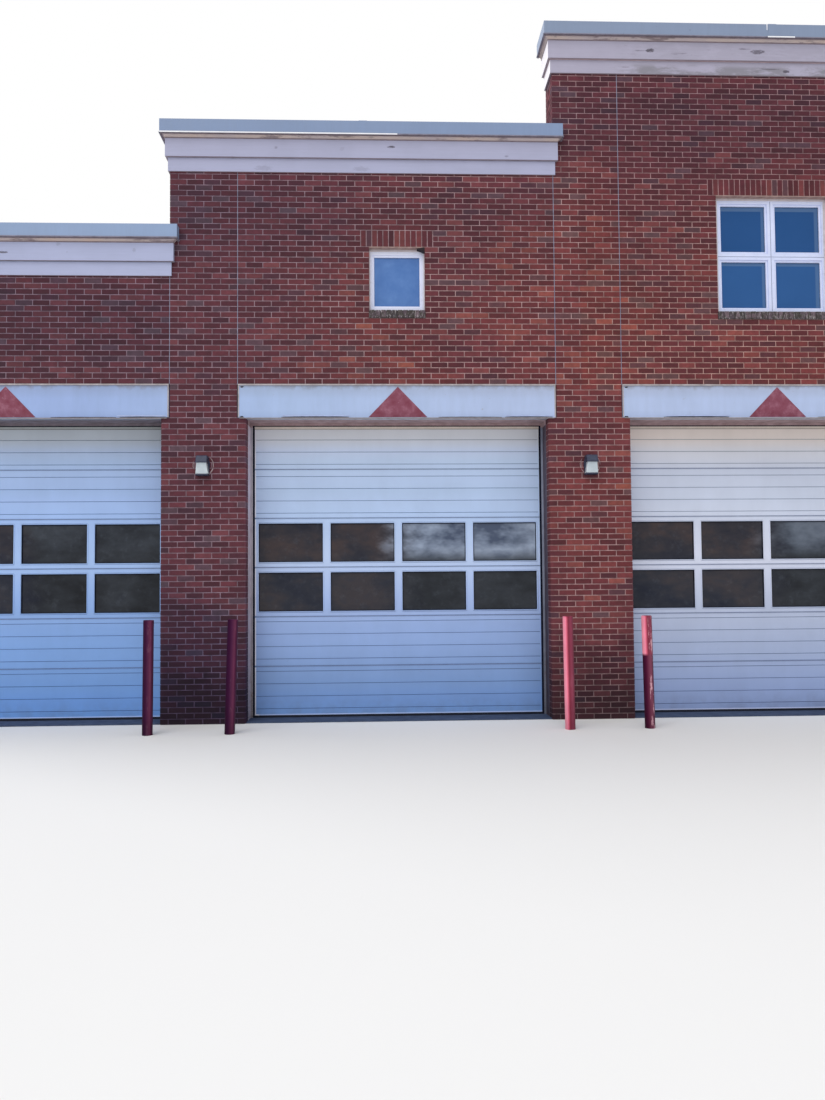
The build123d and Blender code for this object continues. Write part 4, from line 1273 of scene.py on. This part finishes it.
def cap_finish():
    """Dusty edges of the door's sections: nearly white on the left, partly as painted light; like the door
    elsewhere.
    """
    f = Finish("door_cap", 0.55, 0.3)
    white = f.tones(f.noise(12.0, 5.0, 0.7), (226, 226, 240), (242, 240, 250))
    # Painted light, partly: the left caps are made nearly white, lifting the jamb's shade
    left = f.between(across_bay(f), -1.74, -1.70, 0.9, 0.0)
    f.colour(f.mix(f.math("MAXIMUM", left, f.between(f.z, 0.055, 0.065, 0.3, 0.0)), door_colour_and_shade(f), white))
    f.bump(f.noise(70.0, 4.0), 0.2, 0.001)
    return f


def door_glass_finish():
    """Dark glazing with painted reflections: brown-grey on a door's left, paler grey-blue on its right."""
    f = Finish("door_pane", 0.05, 0.22)
    depth = f.noise((1.5, 1.5, 2.6), 4.0, 0.6)
    upper = f.between(f.z, *UPPER_PANES)
    # Painted reflections in soft uneven tones: brown-grey on each door's left, grey-blue on its right
    left = f.shades(depth, (0.3, 22, 26, 42), (0.45, 44, 42, 50), (0.6, 66, 54, 54), (0.75, 52, 50, 58))
    left = f.multiplied(left, f.mix(upper, (0.72, 0.90, 1.06, 1.0), WHITE))
    right = f.shades(depth, (0.34, 46, 54, 70), (0.47, 84, 93, 108), (0.6, 110, 120, 136),
                     (0.76, 70, 80, 100))
    # Painted reflection, strongest on the second door's upper panes
    reflection_glow = f.times(f.between(f.x, -7.2, -7.0, 0.1, 1.0), f.between(f.x, *OVER_PIER_3, 1.0, 0.35))
    right = f.scaled(right, f.math("MAXIMUM", f.times(upper, reflection_glow, 2.3), 0.17))
    place = f.math("ADD", across_bay(f), f.times(depth, 1.2))
    base = f.mix(f.between(place, 0.35, 0.95), left, right)
    dust = f.between(f.noise(11.0, 5.0, 0.7), 0.5, 0.8, 0.0, 0.10)
    f.colour(f.mix(dust, base, (120, 128, 142)))
    f.roughness(f.between(f.noise(24.0, 4.0), 0.3, 0.8, 0.05, 0.1))
    return f


def window_glass_finish():
    """Blue glass, a painted reflection of the sky: deep on the tall window, paler and cloudy on the small
    windows.
    """
    f = Finish("window_pane", 0.07, 0.18)
    clouds = f.noise((2.0, 1.0, 2.6))
    tall = f.mix(f.between(f.z, 5.64, 5.70), f.mix(clouds, (35, 82, 139), (43, 91, 149)),
                 f.mix(clouds, (21, 72, 128), (32, 79, 135)))
    # Paler bars across the tall window: along which axis, start, end, softness and strength
    bands = ((f.z, 6.28, 6.345, 0.01, 1.0), (f.z, 5.585, 5.63, 0.01, 1.0),
             (f.x, -0.10, -0.04, 0.015, 0.75), (f.x, 0.58, 0.64, 0.015, 0.75))
    band = 0.0
    for axis, low, high, soft, strength in bands:
        band = f.math("ADD", band, f.times(f.between(axis, low - soft, low, 0.0, strength),
                                           f.between(axis, high, high + 0.01, 1.0, 0.0)))
    tall = f.mix(f.between(band, 0.0, 1.0, 0.0, 0.55), tall, (96, 124, 160))
    small = f.shades(f.noise(5.0, 4.0, 0.6), (0.3, 76, 115, 178), (0.6, 90, 128, 188), (0.8, 102, 141, 198))
    f.colour(f.mix(f.between(f.apart(f.x), *PAST_TALL_WINDOW), tall, small))
    return f


def steel_finish():
    """Door lining: pale as painted light where it looks right, dark as painted shade where it looks left,
    rusty low down.
    """
    f = Finish("steel_lining", 0.6, 0.25)
    patches = f.noise(8.0, 4.0, 0.6)
    pale = f.tones(patches, (202, 190, 202), (226, 216, 228))
    left = f.tones(patches, (160, 155, 166), (181, 176, 187))
    right = f.tones(patches, (120, 126, 146), (144, 150, 170))
    dark = f.tones(patches, (66, 58, 70), (86, 76, 90))
    under = f.multiplied(f.tones(patches, (146, 123, 124), (182, 157, 161)), left_dusk(f))
    across, _, down = f.facing()
    # Beige front on the left jambs, blue-grey on the right ones
    base = f.mix(f.between(across_bay(f), -0.1, 0.1), left, right)
    # Painted light on faces that look right, painted shade on faces that look left
    base = f.mix(f.between(across, 0.2, 0.8), base, pale)
    base = f.mix(f.between(across, -0.8, -0.2, 1.0, 0.0), base, dark)
    base = f.scaled(base, f.between(f.z, 0.2, 2.4, 0.6, 1.0))
    rust = f.times(f.between(f.noise(30.0, 5.0, 0.7), 0.5, 0.66), f.between(f.z, 0.1, 1.2, 0.7, 0.06))
    side = f.mix(rust, base, (96, 64, 52))
    head = f.between(f.z, DOORWAY_TOP - 0.062, DOORWAY_TOP - 0.056)
    f.colour(f.mix(f.math("MAXIMUM", head, f.between(down, -0.8, -0.3, 1.0, 0.0)), side, under))
    f.bump(f.noise(70.0, 4.0), 0.3, 0.001)
    return f


def strip_finish():
    """Dusty cream strip, in deeper painted shade on the left doors, with a brown painted shadow line along
    its foot.
    """
    f = Finish("cream_strip", 0.75, 0.25)
    cream = f.tones(f.noise(12.0, 5.0, 0.7), (210, 199, 190), (226, 217, 208))
    foot = STRIP_TOP - STRIP_HEIGHT
    # Painted shadow: a brown line along the strip's foot
    line = f.between(f.z, foot + 0.007, foot + 0.009, 0.75, 0.0)
    f.colour(f.multiplied(f.mix(line, cream, (140, 128, 118)), left_dusk(f)))
    f.bump(f.noise(70.0, 4.0), 0.5, 0.002)
    return f


def rubber_finish():
    f = Finish("seal_rubber", 0.8, 0.08)
    f.colour(f.shades(f.noise(14.0, 4.0), (0.3, 7, 10, 27), (0.75, 24, 28, 46)))
    f.bump(f.noise(120.0), 0.3, 0.001)
    return f


def frame_finish():
    """White window frame, cleaner than the doors, whiter on the small windows as painted light."""
    f = Finish("window_frame_white", 0.4, 0.45)
    dirt = f.between(f.noise(22.0, 4.0, 0.65), 0.55, 0.75, 0.0, 0.22)
    base = f.tones(f.noise(3.0), (204, 213, 244), (218, 225, 252))
    # Painted light: the small windows' frames are whiter
    base = f.mix(f.between(f.apart(f.x), *PAST_TALL_WINDOW, 0.0, 0.6), base, (236, 238, 254))
    f.colour(f.mix(dirt, base, (150, 150, 160)))
    f.bump(f.noise(60.0), 0.08, 0.001)
    return f


def lens_finish():
    f = Finish("lamp_lens_white", 0.3, 0.5)
    f.colour(f.tones(f.noise(12.0), (192, 204, 212), (210, 220, 226)))
    flutes = f.node("ShaderNodeTexWave", {"wave_type": "BANDS", "bands_direction": "X"},
                    {"Vector": f.place, "Scale": 40.0})
    f.bump(flutes.outputs["Fac"], 0.4, 0.002)
    return f


# Posts with a sunlit left side: X, and the height where the painted sunlight begins
SUNLIT_POSTS = ((-2.785, -1.0), (-1.889, 0.83))
POST_REACH = 0.25


def bollard_finish():
    """Red paint with painted light and shade: dark on most posts; painted sunlight and pale primer scrapes
    on two.
    """
    f = Finish("bollard_paint", 0.55, 0.08)
    across = f.facing()[0]
    turned = f.between(across, -1.0, 1.0)
    # Painted light and shade across each post, by the way its face turns
    dark = f.shades(turned, (0.0, 44, 4, 38), (0.33, 54, 10, 48), (0.6, 76, 32, 64), (0.8, 94, 44, 72),
                    (0.9, 108, 52, 82), (0.97, 87, 34, 64), (1.0, 75, 38, 62))
    shaded = f.shades(turned, (0.0, 60, 10, 40), (0.12, 78, 18, 50), (0.3, 100, 42, 66), (0.51, 118, 60, 82),
                      (0.75, 128, 68, 90), (1.0, 84, 48, 68))
    # Painted sunlight on the left side of the sunlit posts
    bright = f.shades(turned, (0.015, 255, 156, 174), (0.055, 255, 150, 178), (0.116, 251, 130, 155),
                      (0.171, 221, 106, 130), (0.27, 178, 74, 95), (0.352, 135, 50, 69),
                      (0.465, 129, 52, 70), (0.625, 143, 62, 84), (0.8, 145, 67, 88), (1.0, 130, 64, 80))
    near = [f.between(f.apart(f.x, place), POST_REACH, POST_REACH + 0.01, 1.0, 0.0)
            for place, _ in SUNLIT_POSTS]
    lit = 0.0
    for reached, (_, foot) in zip(near, SUNLIT_POSTS):
        lit = f.math("ADD", lit, f.times(reached, f.between(f.z, foot - 0.02, foot + 0.02)))
    base = f.mix(lit, f.mix(near[1], dark, shaded), bright)
    base = f.scaled(base, f.varied(f.noise(5.0, 4.0, 0.6), 0.92, 1.06))
    scrapes = f.times(f.between(f.noise((14.0, 14.0, 4.0), 5.0, 0.75), 0.56, 0.62),
                      f.between(f.apart(across, 0.35), 0.3, 0.5, 1.0, 0.0), f.math("MAXIMUM", near[1], 0.06))
    base = f.mix(scrapes, base, (214, 164, 176))
    # Darker towards the foot
    f.colour(f.scaled(base, f.between(f.z, 0.0, 0.4, 0.72, 1.0)))
    f.bump(f.noise(9.0, 4.0, 0.6), 0.2, 0.001)
    return f


def roof_finish():
    f = Finish("roof_sheet", 0.45, 0.5, 0.2)
    runs = f.noise((0.8, 9.0, 1.0), 4.0, 0.65)
    base = f.mix(f.between(f.noise(0.6), 0.3, 0.7), (135, 143, 154), (145, 153, 163))
    f.colour(f.scaled(base, f.between(runs, 0.28, 0.72, 0.96, 1.03)))
    f.bump(f.noise(3.0), 0.15, 0.002)
    return f


def gutter_finish():
    f = Finish("gutter_coating", 0.45, 0.45)
    streaks = f.noise((2.0, 24.0, 1.4), 4.0, 0.65)
    base = f.tones(f.noise(2.0), (190, 194, 206), (208, 211, 222))
    f.colour(f.scaled(base, f.between(streaks, 0.28, 0.72, 0.93, 1.03)))
    f.bump(f.noise(12.0), 0.1, 0.001)
    return f


def plain_finish(name, low, high, clouds=(12.0, 5.0, 0.7), grain=(70.0, 4.0), strength=0.5, distance=0.002,
                 roughness=0.75, specular=0.25):
    """Two sRGB tones in clouds, on a grainy surface."""
    f = Finish(name, roughness, specular)
    f.colour(f.tones(f.noise(*clouds), low, high))
    f.bump(f.noise(*grain), strength, distance)
    return f


brick = brick_finish()
sill_brick = sill_finish()
mortar = mortar_finish()
board = board_finish()
door_white = door_finish()
coping = coping_finish()
lintel = lintel_finish()
rubber = rubber_finish()
window_white = frame_finish()
lens = lens_finish()
roof = roof_finish()
gutter_white = gutter_finish()
lamp_metal = plain_finish("lamp_cast", (34, 41, 64), (52, 59, 83), (26.0, 4.0), (160.0, 3.0), 0.35, 0.001,
                          roughness=0.5, specular=0.45)
sealant = plain_finish("joint_sealant", (122, 122, 144), (158, 158, 182), (7.0, 4.0, 0.6), (90.0, 3.0),
                       0.3, 0.001, roughness=0.6, specular=0.3)
drip = plain_finish("coping_drip", (236, 236, 240), (250, 250, 252), (5.0, 4.0), (30.0,), 0.1, 0.001,
                    roughness=0.5, specular=0.4)
old_paint = plain_finish("old_paint", (150, 142, 144), (186, 180, 184))
sheet_lip = plain_finish("lintel_sheet_lip", (158, 170, 204), (172, 188, 224))
# Near-black that paints the shade inside open gaps
gap_shade = plain_finish("gap_shade", (22, 16, 22), (48, 38, 44))
dull_edge = plain_finish("dull_edge", (118, 114, 128), (142, 140, 156))
brown_line = plain_finish("brown_line", (118, 106, 114), (140, 126, 134))
beige_sealing = plain_finish("beige_sealing", (138, 112, 108), (182, 154, 146))
cream_sealing = plain_finish("cream_sealing", (186, 178, 182), (208, 200, 206))
sweep_black = plain_finish("sweep_black", (4, 8, 24), (16, 22, 40))
seam_grey = plain_finish("seam_grey", (84, 94, 126), (108, 118, 150))
ring_caulk = plain_finish("ring_caulk", (142, 118, 124), (206, 188, 190))

NODE_FINISHES = {
    "floor_slab": concrete_finish(), "door_lintels": lintel, "lintel_triangles": triangle_finish(),
    "control_joint_sealant": sealant, "cornice_frieze": board, "cornice_fascia": board,
    "cornice_crown": cove_finish(), "metal_coping": coping, "door_glass": door_glass_finish(),
    "door_frames": steel_finish(), "door_seals": rubber, "window_sills": sill_brick,
    "window_frames": window_white, "window_glass": window_glass_finish(), "lamp_housings": lamp_metal,
    "lamp_lenses": lens, "bollards": bollard_finish(), "roof_left": roof, "roof_right": roof,
    "ridge_cap": roof, "eave_fascias": board, "rake_boards": board, "gutters": gutter_white,
    "downspouts": gutter_white, "downspout_brackets": gutter_white,
}
for name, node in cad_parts.items():
    if name.startswith(("front_pier", "wall_over_door", "side_wall", "back_wall")):
        finish = mortar
    elif name.startswith("door_") and name[5:].isdigit():
        finish = door_white
    else:
        finish = NODE_FINISHES[name]
    node.data.materials.clear()
    node.data.materials.append(finish.material)


# Pieces


def dress(name, seed, slot, finish, fill, *how):
    """One piece, filled by a function that is given its Builder."""
    piece = Builder(name, seed)
    fill(piece, *how)
    piece.make(finish)


for pier in range(BAYS + 1):
    dress(f"bricks_pier_{pier + 1}", 100 + pier, "brick", brick, pier_bricks, pier)
for bay in range(BAYS):
    dress(f"bricks_panel_{bay + 1}", 200 + bay, "brick", brick, panel_bricks, bay)
dress("bricks_side_left", 299, "brick", brick, side_bricks, -1)
dress("bricks_side_right", 301, "brick", brick, side_bricks, 1)
dress("bricks_back", 310, "brick", brick, back_bricks)
dress("bricks_parapet", 320, "brick", brick, parapet_bricks)
dress("bricks_sills", 330, "brick", sill_brick, sill_bricks)

dress("coping_drips", 400, "coping_metal", dull_edge, mouldings, DRIP)
dress("bright_drips", 403, "coping_metal", drip, bright_drips)
dress("coping_gaps", 404, "trim_tan", brown_line, mouldings, DRIP_GAP, DIRTY_LINE)
dress("coping_joints", 401, "coping_metal", coping, coping_joints)
dress("board_laps", 402, "trim_white", lap_finish(), mouldings, LAP)
dress("lintel_trim", 410, "lintel_white", old_paint, lintel_trim)
dress("lintel_gaps", 411, "seal_black", gap_shade, lintel_gaps)
dress("lintel_curls", 412, "lintel_white", sheet_lip, lintel_curls)
dress("lite_beads", 420, "door_white", door_white, lite_rings, 0.010, LITE_BEAD)
dress("lite_gaskets", 421, "seal_black", rubber, lite_rings, 0.012, LITE_GASKET)
dress("door_seams", 422, "door_white", door_white, door_bars, 0.004, SEAM_LIPS, SEAM_LIP)
dress("door_seam_lines", 423, "seal_black", seam_grey, door_bars, 0.002, SEAMS, SEAM_STRIP)
dress("door_caps", 424, "door_white", cap_finish(), door_caps)
dress("door_sweeps", 426, "seal_black", sweep_black, door_bars, -0.004, [0.0], BULB)
dress("door_head_strips", 425, "door_steel", strip_finish(), door_bars, 0.0, [STRIP_TOP - DOOR_FOOT],
      HEAD_STRIP)
dress("window_beads", 430, "window_white", window_white, window_rings, SASH_BEAD)
dress("window_gaskets", 431, "seal_black", rubber, window_rings, SASH_GASKET)
dress("window_seams", 432, "window_white", seam_grey, window_seams)
dress("window_heads", 433, "window_white", beige_sealing, window_heads)
dress("window_sealing", 435, "window_white", cream_sealing, window_sealing)
dress("window_head_holes", 434, "seal_black", gap_shade, head_holes)
dress("lamp_caulk", 440, "sealant", ring_caulk, lamp_caulk)
dress("lamp_plates", 441, "lamp_metal", lamp_metal, lamp_plates)
dress("lens_ribs", 442, "lamp_lens", lens, lens_ribs)
dress("roof_seams", 450, "roof_metal", roof, roof_seams)
dress("parapet_flashing", 451, "roof_metal", roof, parapet_flashing)
dress("gutter_straps", 452, "gutter_white", gutter_white, gutter_straps)

# Stage, light and camera
FLOOR = 300.0
floor_mesh = bpy.data.meshes.new("floor")
floor_mesh.from_pydata([(-FLOOR, -FLOOR, 0), (FLOOR, -FLOOR, 0), (FLOOR, FLOOR, 0), (-FLOOR, FLOOR, 0)],
                       [], [(0, 1, 2, 3)])
floor_piece = bpy.data.objects.new("floor", floor_mesh)
bpy.context.scene.collection.objects.link(floor_piece)
ground = Finish("floor_pale", 0.9, 0.1)
ground.colour(ground.mix(ground.noise(0.2), (232, 232, 232), (236, 236, 236)))
floor_mesh.materials.append(ground.material)

# The sky lights softly, and is plain white where the camera or a reflection sees it
WORLD_LIGHT = 0.62
world = bpy.data.worlds.new("studio")
bpy.context.scene.world = world
world.use_nodes = True
sky, links = world.node_tree.nodes, world.node_tree.links
lit = sky["Background"]
lit.inputs["Color"].default_value = WHITE
lit.inputs["Strength"].default_value = WORLD_LIGHT
seen = sky.new("ShaderNodeBackground")
seen.inputs["Color"].default_value = WHITE
path = sky.new("ShaderNodeLightPath")
is_seen = path.outputs["Is Camera Ray"]
for ray in ("Is Glossy Ray", "Is Transmission Ray"):
    either = sky.new("ShaderNodeMath")
    either.operation = "MAXIMUM"
    links.new(is_seen, either.inputs[0])
    links.new(path.outputs[ray], either.inputs[1])
    is_seen = either.outputs[0]
blend = sky.new("ShaderNodeMixShader")
links.new(is_seen, blend.inputs[0])
links.new(lit.outputs[0], blend.inputs[1])
links.new(seen.outputs[0], blend.inputs[2])
links.new(blend.outputs[0], sky["World Output"].inputs["Surface"])


def sun(name, azimuth, elevation, strength, spread):
    """A soft lamp far away; azimuth 0 is in front of the building, 90 on its right."""
    lamp = bpy.data.lights.new(name, "SUN")
    lamp.energy = strength
    lamp.angle = radians(spread)
    holder = bpy.data.objects.new(name, lamp)
    turn, lift = radians(azimuth), radians(elevation)
    towards = Vector((sin(turn) * cos(lift), -cos(turn) * cos(lift), sin(lift)))
    holder.rotation_euler = towards.to_track_quat("Z", "Y").to_euler()
    bpy.context.scene.collection.objects.link(holder)


sun("key", -25, 48, 1.25, 50)
sun("side", -110, 25, 1.9, 30)

# Camera at the photograph's place, worked out for its 825 by 1100 frame
FOCAL_PIXELS = 827.0
FRAME_HEIGHT_PIXELS = 1100.0
SENSOR = 36.0
YAW, PITCH_UP, ROLL = radians(2.0766), radians(2.2016), radians(-0.44274)
CAMERA_PLACE = (-4.87097, FRONT - 9.94544, 1.66895)
camera_data = bpy.data.cameras.new("camera")
camera_data.sensor_width = SENSOR
camera_data.lens = SENSOR * FOCAL_PIXELS / FRAME_HEIGHT_PIXELS
camera_data.clip_end = 1000.0
camera = bpy.data.objects.new("camera", camera_data)
ahead = Vector((sin(YAW) * cos(PITCH_UP), cos(YAW) * cos(PITCH_UP), sin(PITCH_UP)))
level = Vector((cos(YAW), -sin(YAW), 0.0))
upright = level.cross(ahead)
right = cos(ROLL) * level + sin(ROLL) * upright
up = -sin(ROLL) * level + cos(ROLL) * upright
camera.matrix_world = Matrix.Translation(CAMERA_PLACE) @ Matrix((right, up, -ahead)).transposed().to_4x4()
bpy.context.scene.collection.objects.link(camera)
bpy.context.scene.camera = camera
bpy.context.scene.view_settings.view_transform = "Standard"
